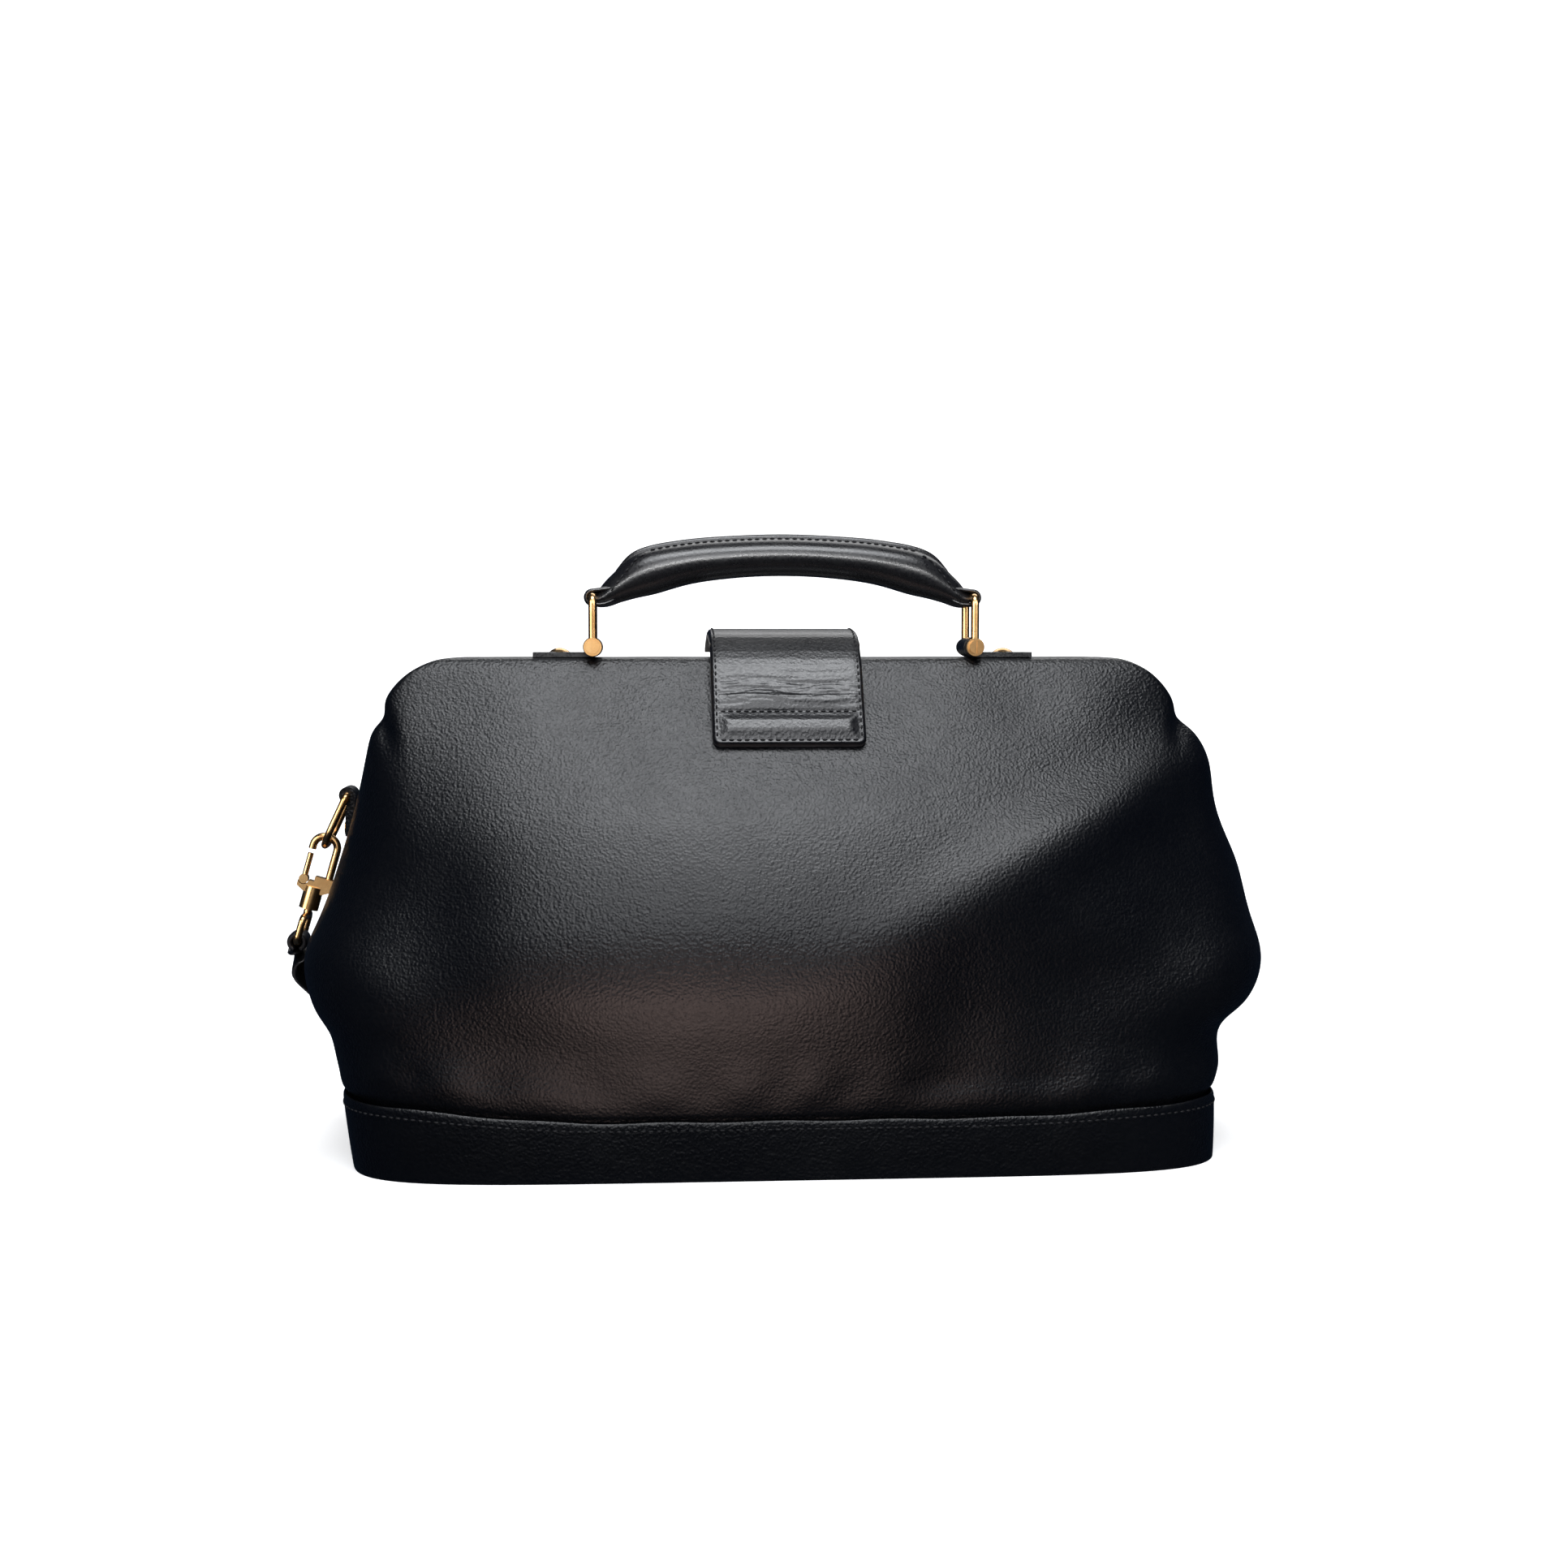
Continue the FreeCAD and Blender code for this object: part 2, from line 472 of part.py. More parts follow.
def build_closure():
    """The strap: a sewn foot on the front shoulder, and an arch over the frame that lifts to open."""
    width = vec(2 * STRAP_HALF_X, 0, 0)
    middle_r = (STRAP_R_IN + STRAP_R_OUT) / 2
    half = (STRAP_R_OUT - STRAP_R_IN) / 2
    pivot = strap_point(middle_r, STRAP_BEND_DEG)
    button = math.radians(BUTTON_DEG)
    outwards = vec(0, math.sin(button), math.cos(button))
    axis_point = vec(0, 0, HINGE_Z)

    def arch(r_in, r_out, start_deg):
        middle = (start_deg + STRAP_END_DEG) / 2
        edges = [
            Part.Arc(strap_point(r_out, start_deg), strap_point(r_out, middle),
                     strap_point(r_out, STRAP_END_DEG)).toShape(),
            Part.makeLine(strap_point(r_out, STRAP_END_DEG), strap_point(r_in, STRAP_END_DEG)),
            Part.Arc(strap_point(r_in, STRAP_END_DEG), strap_point(r_in, middle),
                     strap_point(r_in, start_deg)).toShape(),
            Part.makeLine(strap_point(r_in, start_deg), strap_point(r_out, start_deg)),
        ]
        return Part.Face(Part.Wire(edges)).extrude(width)

    split = STRAP_R_IN + 1.5
    cap = cylinder(axis_point + outwards * 67.9, axis_point + outwards * (split + 0.9), BUTTON_R)
    cap_room = cylinder(axis_point + outwards * 67.5, axis_point + outwards * (split + 1.0), BUTTON_R + 0.05)
    bead = cylinder(pivot, pivot + width, half)
    strap = arch(split, STRAP_R_OUT, STRAP_BEND_DEG + 0.8).fuse(bead).cut(cap_room).removeSplitter()
    lining = arch(STRAP_R_IN, split - 0.05, STRAP_BEND_DEG + 2.2).cut(cap_room)
    export("closure_strap", strap)
    export("closure_lining", lining)
    export("closure_magnet_cap", cap)

    foot = vec(-STRAP_HALF_X, *STRAP_FOOT)
    up = (pivot - foot).normalize()
    across = vec(0, -up.z, up.y)
    neck = pivot - up * (half + 0.4)
    corners = [foot - across * half, neck - across * half, neck + across * half, foot + across * half]
    sewn = extrude(corners, width)
    export("closure_foot", sewn)

    lower = axis_point + outwards * (FRAME_TOP - HINGE_Z + 0.1)
    post = cylinder(lower, axis_point + outwards * 67.3, BUTTON_R)
    deck = box((-20, 20), (0, 40), (0, FRAME_TOP + 0.1))
    export("closure_magnet_base", post.cut(deck))


def hook_frame(side, ring_deg, hook_deg):
    """Key points of one side's hardware: ring pivot, ring's lower bar, and the hook's direction."""
    ring_a, hook_a = math.radians(ring_deg), math.radians(hook_deg)
    ring_down = vec(side * math.sin(ring_a), 0, -math.cos(ring_a))
    hook_down = vec(side * math.sin(hook_a), 0, -math.cos(hook_a))
    ring_top = vec(side * RING_X, RING_Y, RING_Z)
    return ring_top, ring_down, ring_top + ring_down * RING_LENGTH, hook_down


def build_side_hardware(name, side, ring_deg, hook_deg):
    ring_top, ring_down, ring_foot, down = hook_frame(side, ring_deg, hook_deg)
    out = vec(-side * down.z, 0, side * down.x)
    y_axis = vec(0, 1, 0)

    # leather chape: a tab on the gusset with a roll around the ring's bar
    tab_line = [(174.6, RING_Z), (175.9, 129.8), (178.7, 129.8), (178.4, RING_Z)]
    tab = extrude([vec(side * x, RING_Y - 9, z) for x, z in tab_line], vec(0, 18, 0))
    roll = cylinder(ring_top - y_axis * 7, ring_top + y_axis * 7, RING_ROLL_R)
    bar_hole = cylinder(ring_top - y_axis * 12, ring_top + y_axis * 12, RING_WIRE + RUNNING_GAP)
    side_room = box((side * 160, side * 200), (RING_Y - 9.1, RING_Y - 7), (RING_Z - 6, RING_Z + 6))
    other_room = box((side * 160, side * 200), (RING_Y + 7, RING_Y + 9.1), (RING_Z - 6, RING_Z + 6))
    rivet_hole = side_hole(side, RING_Y, CHAPE_RIVET_Z, RIVET_HOLE_R)
    chape = tab.cut(side_room).cut(other_room).fuse(roll).cut(bar_hole).cut(rivet_hole)
    export(f"ring_chape_{name}", chape.removeSplitter())
    skin = half_length(CHAPE_RIVET_Z)

    def rivet_at(x):
        return vec(side * x, RING_Y, CHAPE_RIVET_Z)

    rivet = cylinder(rivet_at(skin - 3.9), rivet_at(179.0), RIVET_R)
    outer_head = cylinder(rivet_at(178.8), rivet_at(179.8), 2.6)
    inner_head = cylinder(rivet_at(skin - 4.2), rivet_at(skin - 3.3), 2.6)
    export(f"chape_rivet_{name}", rivet.fuse(outer_head).fuse(inner_head).removeSplitter())

    def ring_at(y, along):
        return ring_top + y_axis * y + ring_down * along

    ring_points = [ring_at(-RING_HALF, 0), ring_at(RING_HALF, 0),
                   ring_at(RING_HALF, RING_LENGTH), ring_at(-RING_HALF, RING_LENGTH)]
    export(f"ring_{name}", rod(ring_points, RING_WIRE, [2.5, 2.5, 8.0, 8.0], True))

    def at(across, along, y=0.0):
        return ring_foot + out * across + down * along + y_axis * y

    crown = -(RING_WIRE + HOOK_WIRE + 0.2)
    hook = rod([at(-HOOK_HALF, 15.5), at(-HOOK_HALF, crown), at(HOOK_HALF, crown), at(HOOK_HALF, 3.0)],
               HOOK_WIRE, [0, 4.6, 4.6, 0])
    yoke = extrude([at(-7, 13.6, -2.6), at(7, 13.6, -2.6), at(7, 18.8, -2.6), at(4, 20.5, -2.6),
                    at(-4, 20.5, -2.6), at(-7, 18.8, -2.6)], y_axis * 5.2)
    barrel = cylinder(at(0, 18.0), at(0, 27.5), 4.0)
    bore = cylinder(at(0, 20.0), at(0, 28.0), 1.6 + RUNNING_GAP)
    gate_room = cylinder(at(HOOK_HALF, 15.8, -3), at(HOOK_HALF, 15.8, 3), 2.2)
    gate_slot = extrude([at(0.5, 12.0, -3), at(9.0, 12.0, -3), at(9.0, 15.8, -3), at(0.5, 15.8, -3)], y_axis * 6)
    body = hook.fuse(yoke).fuse(barrel).cut(bore)
    body = body.cut(gate_room).cut(gate_slot)
    export(f"hook_{name}", body.removeSplitter())
    gate = cylinder(at(HOOK_HALF, 15.8), at(HOOK_HALF, 4.9), 1.2)
    knuckle = cylinder(at(HOOK_HALF, 15.8, -2.2), at(HOOK_HALF, 15.8, 2.2), 1.9)
    export(f"hook_gate_{name}", gate.fuse(knuckle).removeSplitter())

    eye_points = [at(0, 30.5, -9.5), at(0, 30.5, 9.5), at(0, EYE_BAR, 9.5), at(0, EYE_BAR, -9.5)]
    stem = cylinder(at(0, 20.4), at(0, 30.5), 1.6)
    eye = rod(eye_points, 1.5, [2.5, 2.5, 2.5, 2.5], True)
    export(f"swivel_eye_{name}", eye.fuse(stem).removeSplitter())
    wrap = cylinder(at(0, EYE_BAR, -6.8), at(0, EYE_BAR, 6.8), 4.0)
    wrap_hole = cylinder(at(0, EYE_BAR, -12), at(0, EYE_BAR, 12), 1.5 + RUNNING_GAP)
    tail = extrude([at(-2.2, EYE_BAR, -6.8), at(2.2, EYE_BAR, -6.8),
                    at(2.2, EYE_BAR + 9, -6.8), at(-2.2, EYE_BAR + 9, -6.8)], y_axis * 13.6)
    export(f"strap_end_{name}", wrap.fuse(tail).cut(wrap_hole).removeSplitter())


def build_shoulder_strap():
    """One long strap that stands on its edge behind the bag and rises to the hook on each side."""
    rise = [(196.0, 22.0, 66.0), (190.0, 42.0, 46.0), (176.0, 82.0, 27.0), (146.0, 118.0, 14.0),
            (104.0, 142.0, 9.5), (54.0, 156.0, 9.2)]
    left = [vec(-x, y, z) for x, y, z in rise]
    right = [vec(x, y, z) for x, y, z in reversed(rise)]
    export("shoulder_strap", ribbon([*left, vec(0, 160.0, 9.2), *right], SHOULDER_HALF_WIDTH, SHOULDER_THICK))


os.makedirs("parts", exist_ok=True)
build_base()
build_body()
build_frame()
build_hinges()
build_handle()
build_closure()
for side_name, (side_sign, ring_angle, hook_angle) in SIDES.items():
    build_side_hardware(side_name, side_sign, ring_angle, hook_angle)
build_shoulder_strap()
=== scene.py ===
"""Looks of the leather doctor bag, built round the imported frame.

Lengths are in metres, in the frame's axes: +Z up, -Y the side that the camera sees.
"""
import json
import math

import bmesh
import bpy
import numpy as np
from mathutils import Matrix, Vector


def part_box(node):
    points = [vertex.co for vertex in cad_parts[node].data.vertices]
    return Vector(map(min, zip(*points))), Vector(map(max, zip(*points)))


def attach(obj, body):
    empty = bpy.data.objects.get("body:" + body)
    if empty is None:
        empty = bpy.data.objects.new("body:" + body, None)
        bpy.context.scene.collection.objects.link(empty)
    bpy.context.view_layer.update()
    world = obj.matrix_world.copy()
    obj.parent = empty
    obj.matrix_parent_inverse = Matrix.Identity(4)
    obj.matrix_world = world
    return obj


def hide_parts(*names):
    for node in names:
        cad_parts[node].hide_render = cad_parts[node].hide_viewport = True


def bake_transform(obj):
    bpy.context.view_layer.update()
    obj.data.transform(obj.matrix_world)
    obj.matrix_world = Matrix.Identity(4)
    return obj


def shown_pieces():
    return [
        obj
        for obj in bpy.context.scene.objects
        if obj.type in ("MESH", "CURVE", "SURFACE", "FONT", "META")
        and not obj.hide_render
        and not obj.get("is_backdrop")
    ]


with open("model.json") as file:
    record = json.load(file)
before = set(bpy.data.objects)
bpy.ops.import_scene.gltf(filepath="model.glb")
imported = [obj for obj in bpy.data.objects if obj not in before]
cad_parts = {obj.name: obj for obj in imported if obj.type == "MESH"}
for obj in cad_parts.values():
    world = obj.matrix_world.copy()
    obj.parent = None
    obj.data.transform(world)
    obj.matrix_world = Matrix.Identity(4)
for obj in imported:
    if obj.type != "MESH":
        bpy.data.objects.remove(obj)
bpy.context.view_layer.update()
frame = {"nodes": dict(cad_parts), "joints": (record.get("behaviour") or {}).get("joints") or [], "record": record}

MM = 0.001

# ---- places taken from the frame -------------------------------------------------------------
JOINTS = {joint["name"]: joint for joint in frame["joints"]}
HINGE_Z = JOINTS["frame_front_open"]["pos_m"][2]
BAND_X, BAND_Y, BAND_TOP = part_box("base_band")[1]
HANDLE_BAR = JOINTS["handle_turn"]["pos_m"]       # the left link's bar
LINK_X, HANDLE_Y, LINK_BAR_Z = -HANDLE_BAR[0], HANDLE_BAR[1], HANDLE_BAR[2]
STRAP_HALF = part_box("closure_strap")[1].x
STRAP_PIVOT = Vector(JOINTS["closure_lift"]["pos_m"])

# ---- leather skin, in mm: height, half length, half depth, depth of the straight side, squareness
SKIN_LEVELS = np.array([
    (22.0, 168.0, 81.8, 0.0, 5.6),
    (28.0, 169.2, 82.6, 0.0, 5.6),
    (31.0, 171.5, 84.0, 0.0, 5.4),
    (38.0, 173.8, 85.8, 0.0, 5.1),
    (52.0, 179.0, 88.0, 0.0, 4.5),
    (66.0, 188.5, 90.5, 0.0, 3.9),
    (80.0, 191.5, 91.5, 0.0, 3.4),
    (98.0, 187.0, 89.0, 0.0, 3.2),
    (118.0, 180.5, 82.0, 2.0, 3.0),
    (136.0, 174.6, 73.0, 8.0, 2.9),
    (150.0, 170.4, 63.5, 15.0, 2.8),
    (161.0, 167.2, 55.0, 20.0, 2.8),
    (172.0, 164.0, 46.5, 23.0, 2.8),
    (182.0, 160.6, 38.8, 24.0, 2.8),
    (190.0, 156.6, 32.8, 24.0, 2.8),
    (196.0, 151.2, 28.4, 23.5, 2.8),
    (200.0, 145.0, 25.6, 22.0, 2.8),
    (202.4, 138.4, 23.0, 20.0, 2.8),
    (203.1, 131.5, 19.0, 16.0, 2.8),
    (203.2, 128.0, 10.0, 8.0, 2.8),
    (203.2, 126.0, 2.0, 0.8, 2.8),
])
SKIN_THICK = 1.7 * MM
SKIN_ROWS, SKIN_COLUMNS = 110, 200

# the skin's landmarks, all in mm
INNER_EDGE = 1.0              # from a half's inner edge to the middle plane, above PARTING_Z
PARTING_Z, PARTING = 138.0, 8.0
FOLDS_START, FOLDS_GROW = 29.0, 14.0              # folds rise from nothing above the band
FOLDS_END, FOLDS_DIE = 194.0, 22.0                # and fade out below the frame's top
HINGE_CALM = 40.0             # radius round the hinge where folds fade
SEAM_CALM = 28.0              # distance from the side seam where folds fade
HOLLOW_Y, HOLLOW_Z, HOLLOW_DEPTH = 10.0, 87.0, 7.0    # pressed in by the right snap hook


def smoothstep(t):
    t = np.clip(t, 0.0, 1.0)
    return t * t * (3 - 2 * t)


def spline(table, samples):
    """Rows of a table, interpolated by a Catmull-Rom curve at evenly spaced samples."""
    count = len(table)
    at = np.linspace(0, count - 1, samples)
    i = np.clip(at.astype(int), 0, count - 2)
    t = (at - i)[:, None]
    p0, p1 = table[np.clip(i - 1, 0, count - 1)], table[i]
    p2, p3 = table[i + 1], table[np.clip(i + 2, 0, count - 1)]
    return 0.5 * (2 * p1 + (p2 - p0) * t + (2 * p0 - 5 * p1 + 4 * p2 - p3) * t ** 2
                  + (3 * p1 - p0 - 3 * p2 + p3) * t ** 3)


def new_object(name, vertices, faces, *materials):
    mesh = bpy.data.meshes.new(name)
    mesh.from_pydata([tuple(v) for v in vertices], [], faces)
    mesh.update()
    for polygon in mesh.polygons:
        polygon.use_smooth = True
    for material in materials:
        mesh.materials.append(material)
    piece = bpy.data.objects.new(name, mesh)
    bpy.context.scene.collection.objects.link(piece)
    return piece


def grid_faces(rows, columns, closed=False, start=0):
    faces = []
    for r in range(rows - 1):
        for c in range(columns if closed else columns - 1):
            d = (c + 1) % columns
            faces.append((start + r * columns + c, start + r * columns + d,
                          start + (r + 1) * columns + d, start + (r + 1) * columns + c))
    return faces


def tube_faces(rings, around, start=0):
    """Faces of a tube: closed rings joined in order, and a cap on each end."""
    first = tuple(start + k for k in reversed(range(around)))
    last = tuple(start + (rings - 1) * around + k for k in range(around))
    return grid_faces(rings, around, True, start) + [first, last]


def face_outwards(piece):
    shell = bmesh.new()
    shell.from_mesh(piece.data)
    bmesh.ops.recalc_face_normals(shell, faces=shell.faces)
    shell.to_mesh(piece.data)
    shell.free()


def subdivide(piece, levels):
    modifier = piece.modifiers.new("Subdivision", "SUBSURF")
    modifier.levels = modifier.render_levels = levels


def thicken(piece, thickness, offset=-1.0):
    solid = piece.modifiers.new("Thickness", "SOLIDIFY")
    solid.thickness, solid.offset = thickness, offset
    return solid


def settle(piece, body, slot, *replaced):
    """The piece rides on a body and stands in for CAD nodes. The slot is not used."""
    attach(piece, body)
    if replaced:
        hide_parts(*replaced)


def unit(vectors):
    """Rows scaled to length 1."""
    return vectors / np.linalg.norm(vectors, axis=-1, keepdims=True)


# ================================ materials ====================================================
class Nodes:
    """A short way to write a node tree."""

    def __init__(self, name):
        self.material = bpy.data.materials.new(name)
        self.material.use_nodes = True
        self.tree = self.material.node_tree
        self.shader = self.tree.nodes["Principled BSDF"]
        coords = self.tree.nodes.new("ShaderNodeTexCoord")
        self.place = coords.outputs["Object"]

    def put(self, value, socket):
        """Links an output into a socket, or sets the socket's own value."""
        if isinstance(value, bpy.types.NodeSocket):
            self.tree.links.new(value, socket)
        else:
            socket.default_value = value

    def add(self, kind, **inputs):
        node = self.tree.nodes.new(kind)
        for key, value in inputs.items():
            self.put(value, node.inputs[key.replace("_", " ")])
        return node

    def stretched(self, scale):
        return self.add("ShaderNodeMapping", Vector=self.place, Scale=scale).outputs[0]

    def noise(self, scale, detail=2.0, rough=0.5, vector=None):
        node = self.add("ShaderNodeTexNoise", Vector=vector or self.place, Scale=scale,
                        Detail=detail, Roughness=rough)
        return node.outputs[0]

    def cells(self, scale, vector):
        node = self.add("ShaderNodeTexVoronoi", Vector=vector, Scale=scale)
        node.feature = "SMOOTH_F1"
        return node.outputs["Distance"]

    def threads(self, scale, vector):
        return self.add("ShaderNodeTexWave", Vector=vector, Scale=scale)

    def sphere(self, vector):
        """1 at the origin, falling to 0 at distance 1."""
        node = self.add("ShaderNodeTexGradient", Vector=vector)
        node.gradient_type = "SPHERICAL"
        return node.outputs[1]

    def ramp(self, value, *stops):
        node = self.add("ShaderNodeValToRGB", Fac=value)
        elements = node.color_ramp.elements
        for i, (position, colour) in enumerate(stops):
            element = elements[i] if i < 2 else elements.new(position)
            element.position = position
            element.color = (*colour, 1) if isinstance(colour, tuple) else (colour,) * 3 + (1,)
        return node.outputs[0]

    def math(self, operation, a, b=0.5, c=0.5):
        node = self.tree.nodes.new("ShaderNodeMath")
        node.operation = operation
        for socket, value in zip(node.inputs, (a, b, c)):
            self.put(value, socket)
        return node.outputs[0]

    def bump(self, height, depth, strength, below=None):
        node = self.add("ShaderNodeBump", Height=height, Distance=depth, Strength=strength)
        if below is not None:
            self.tree.links.new(below, node.inputs["Normal"])
        return node.outputs[0]

    def finish(self, **inputs):
        for key, value in inputs.items():
            self.put(value, self.shader.inputs[key.replace("_", " ")])
        return self.material


def leather(name, dark, light, gloss, grain=1000.0, grain_depth=0.42, creases=0.10,
            fold_scale=55.0, fold_stretch=(1.0, 1.0, 2.2), shine=0.55):
    """Grained leather: pebbles and valleys, long soft creases, cloudy colour, uneven gloss.

    Grain and fold scales are counts per metre. Gloss is the lowest roughness.
    """
    n = Nodes(name)
    cloud = n.noise(9.0, 4.0, 0.6)
    wander = n.add("ShaderNodeTexNoise", Vector=n.place, Scale=grain * 0.45, Detail=2.0)
    warped = n.tree.nodes.new("ShaderNodeVectorMath")
    warped.operation = "MULTIPLY_ADD"
    for socket, value in zip(warped.inputs, (wander.outputs["Color"], (0.7 / grain,) * 3, n.place)):
        n.put(value, socket)
    pebble = n.cells(grain, warped.outputs[0])
    fine = n.noise(grain * 3.1, 3.0, 0.6)
    fold = n.noise(fold_scale, 6.0, 0.62, n.stretched(fold_stretch))
    colour = n.ramp(cloud, (0.3, dark), (0.75, light))
    rub = n.ramp(n.noise(45.0, 5.0, 0.7), (0.45, 0.0), (0.8, 1.0))
    roughness = n.math("MULTIPLY_ADD", rub, 0.08, gloss)
    roughness = n.math("MULTIPLY_ADD", pebble, 0.16, roughness)
    height = n.math("MULTIPLY_ADD", fine, 0.30, n.math("MULTIPLY", pebble, -1.0))
    surface = n.bump(fold, 0.09 / fold_scale, creases)
    surface = n.bump(height, 0.0006, grain_depth, surface)
    return n.finish(Base_Color=colour, Roughness=roughness, Normal=surface,
                    Specular_IOR_Level=shine)


def painted_edge(name):
    n = Nodes(name)
    surface = n.bump(n.noise(700.0, 3.0), 0.0002, 0.3)
    colour = n.ramp(n.noise(60.0, 3.0), (0.3, (0.012, 0.011, 0.012)), (0.8, (0.035, 0.032, 0.034)))
    return n.finish(Base_Color=colour, Roughness=0.3, Normal=surface)


def thread(name):
    n = Nodes(name)
    twist = n.threads(900.0, n.place).outputs[1]
    colour = n.ramp(n.noise(400.0, 2.0), (0.3, (0.006, 0.006, 0.007)), (0.8, (0.022, 0.022, 0.025)))
    return n.finish(Base_Color=colour, Roughness=0.5, Normal=n.bump(twist, 0.0001, 0.5))


def brass(name):
    n = Nodes(name)
    tarnish = n.ramp(n.noise(60.0, 4.0, 0.6),
                     (0.35, (0.62, 0.35, 0.14)), (0.75, (0.84, 0.57, 0.28)))
    wear = n.noise(180.0, 4.0, 0.6, n.stretched((1.0, 4.0, 1.0)))
    roughness = n.math("MULTIPLY_ADD", wear, 0.16, 0.16)
    return n.finish(Base_Color=tarnish, Metallic=1.0, Roughness=roughness,
                    Normal=n.bump(wear, 0.0001, 0.03))


def steel(name):
    n = Nodes(name)
    brushed = n.noise(300.0, 4.0, 0.6, n.stretched((0.15, 4.0, 4.0)))
    colour = n.ramp(n.noise(30.0, 3.0), (0.3, (0.36, 0.36, 0.37)), (0.8, (0.55, 0.55, 0.56)))
    roughness = n.math("MULTIPLY_ADD", brushed, 0.2, 0.28)
    return n.finish(Base_Color=colour, Metallic=1.0, Roughness=roughness,
                    Normal=n.bump(brushed, 0.0001, 0.3))


def woven(name, dark, light, pitch):
    """Plain weave: two crossed sets of threads."""
    n = Nodes(name)
    warp = n.threads(pitch, n.stretched((1.0, 1.0, 0.0)))
    weft = n.threads(pitch, n.stretched((0.0, 0.0, 1.0)))
    weft.bands_direction = "Z"
    height = n.math("MULTIPLY", warp.outputs[1], weft.outputs[1])
    # random tone plus painted shade: the colour is darker where the threads dip, lighter on their crossings
    tone = n.math("MULTIPLY_ADD", n.noise(25.0, 4.0), 0.6, n.math("MULTIPLY", height, 0.4))
    colour = n.ramp(tone, (0.2, dark), (0.8, light))
    return n.finish(Base_Color=colour, Roughness=0.85, Sheen_Weight=0.25,
                    Normal=n.bump(height, 0.0003, 0.5))


def fibre_board(name):
    n = Nodes(name)
    flecks = n.noise(500.0, 5.0, 0.7, n.stretched((1.0, 3.0, 1.0)))
    colour = n.ramp(flecks, (0.3, (0.16, 0.11, 0.06)), (0.75, (0.34, 0.26, 0.17)))
    return n.finish(Base_Color=colour, Roughness=0.9, Normal=n.bump(flecks, 0.0003, 0.4))


BODY = leather("body_leather", (0.0009, 0.0013, 0.0026), (0.0019, 0.0024, 0.0036), 0.27)
SMOOTH = leather("handle_leather", (0.0030, 0.0032, 0.0042), (0.0056, 0.0055, 0.0062), 0.21,
                 grain=900.0, grain_depth=0.08, creases=0.04, shine=0.75)
STRAP = leather("strap_leather", (0.0026, 0.0028, 0.0040), (0.0048, 0.0048, 0.0058), 0.28,
                grain=800.0, grain_depth=0.14, creases=0.08)
TAB = leather("closure_leather", (0.0026, 0.0028, 0.0040), (0.0048, 0.0048, 0.0058), 0.25,
              grain=900.0, grain_depth=0.20, creases=0.34, fold_scale=170.0,
              fold_stretch=(0.45, 1.0, 1.0), shine=0.8)
EDGE = painted_edge("painted_edge")
THREAD = thread("thread")
BRASS = brass("brass")
STEEL = steel("frame_steel")
LINING = woven("lining", (0.045, 0.036, 0.028), (0.10, 0.082, 0.064), 900.0)
BOARD = fibre_board("base_board")
ROPE = woven("rope", (0.25, 0.2, 0.13), (0.45, 0.38, 0.27), 500.0)
BY_SLOT = {
    "body_leather": BODY, "handle_leather": SMOOTH, "strap_leather": STRAP, "lining": LINING,
    "base_board": BOARD, "handle_core": ROPE, "frame_steel": STEEL, "brass": BRASS,
}


def finish_cad_nodes():
    """Every carried-over CAD node takes its slot's material. Leather also gets a small bevel."""
    slots = {part["node"]: part["material_slot"] for part in frame["record"]["subparts"]}
    for node, piece in frame["nodes"].items():
        piece.data.materials.clear()
        piece.data.materials.append(BY_SLOT[slots[node]])
        for polygon in piece.data.polygons:
            polygon.use_smooth = True
        if "leather" in slots[node]:
            bevel = piece.modifiers.new("Bevel", "BEVEL")
            bevel.width = 0.5 * MM
            bevel.segments = 3
            bevel.angle_limit = math.radians(50)
        piece.modifiers.new("Sharp edges", "WEIGHTED_NORMAL").keep_sharp = True
        piece.modifiers.new("Split", "EDGE_SPLIT").split_angle = math.radians(35)


# ================================ stitches and seams ===========================================
STITCH_PITCH, STITCH_LENGTH, STITCH_WIDTH = 3.0 * MM, 2.1 * MM, 0.75 * MM
STITCH_LIFT, STITCH_SINK = 0.16 * MM, 0.22 * MM   # of its middle, and of its ends below that


def running_length(points):
    """Length along a path at each of its points."""
    return np.concatenate([[0], np.cumsum(np.linalg.norm(np.diff(points, axis=0), axis=1))])


def stitch_row(name, points, normals):
    """One mesh of thread loops along a path. Each is a flattened capsule sunk at its ends."""
    points, normals = np.asarray(points, float), np.asarray(normals, float)
    run = running_length(points)
    count = max(1, int(run[-1] / STITCH_PITCH))
    rings, around, near = 5, 6, 0.5 * MM
    vertices, faces = [], []

    def at(s, data):
        return np.array([np.interp(s, run, data[:, k]) for k in range(3)])

    for spot in (np.arange(count) + 0.5) * run[-1] / count:
        middle = at(spot, points)
        along = unit(at(spot + near, points) - at(spot - near, points))
        up = at(spot, normals)
        up = unit(up - along * (up @ along))
        across = np.cross(along, up)
        faces += tube_faces(rings, around, len(vertices))
        for r in range(rings):
            share = 2 * r / (rings - 1) - 1
            girth = math.sqrt(max(0.03, 1 - share ** 4)) * STITCH_WIDTH / 2
            lift = STITCH_LIFT - STITCH_SINK * share ** 2
            centre = middle + along * share * STITCH_LENGTH / 2 + up * lift
            for k in range(around):
                angle = 2 * math.pi * k / around
                vertices.append(centre + across * girth * math.cos(angle)
                                + up * girth * 0.8 * math.sin(angle))
    return new_object(name, vertices, faces, THREAD)


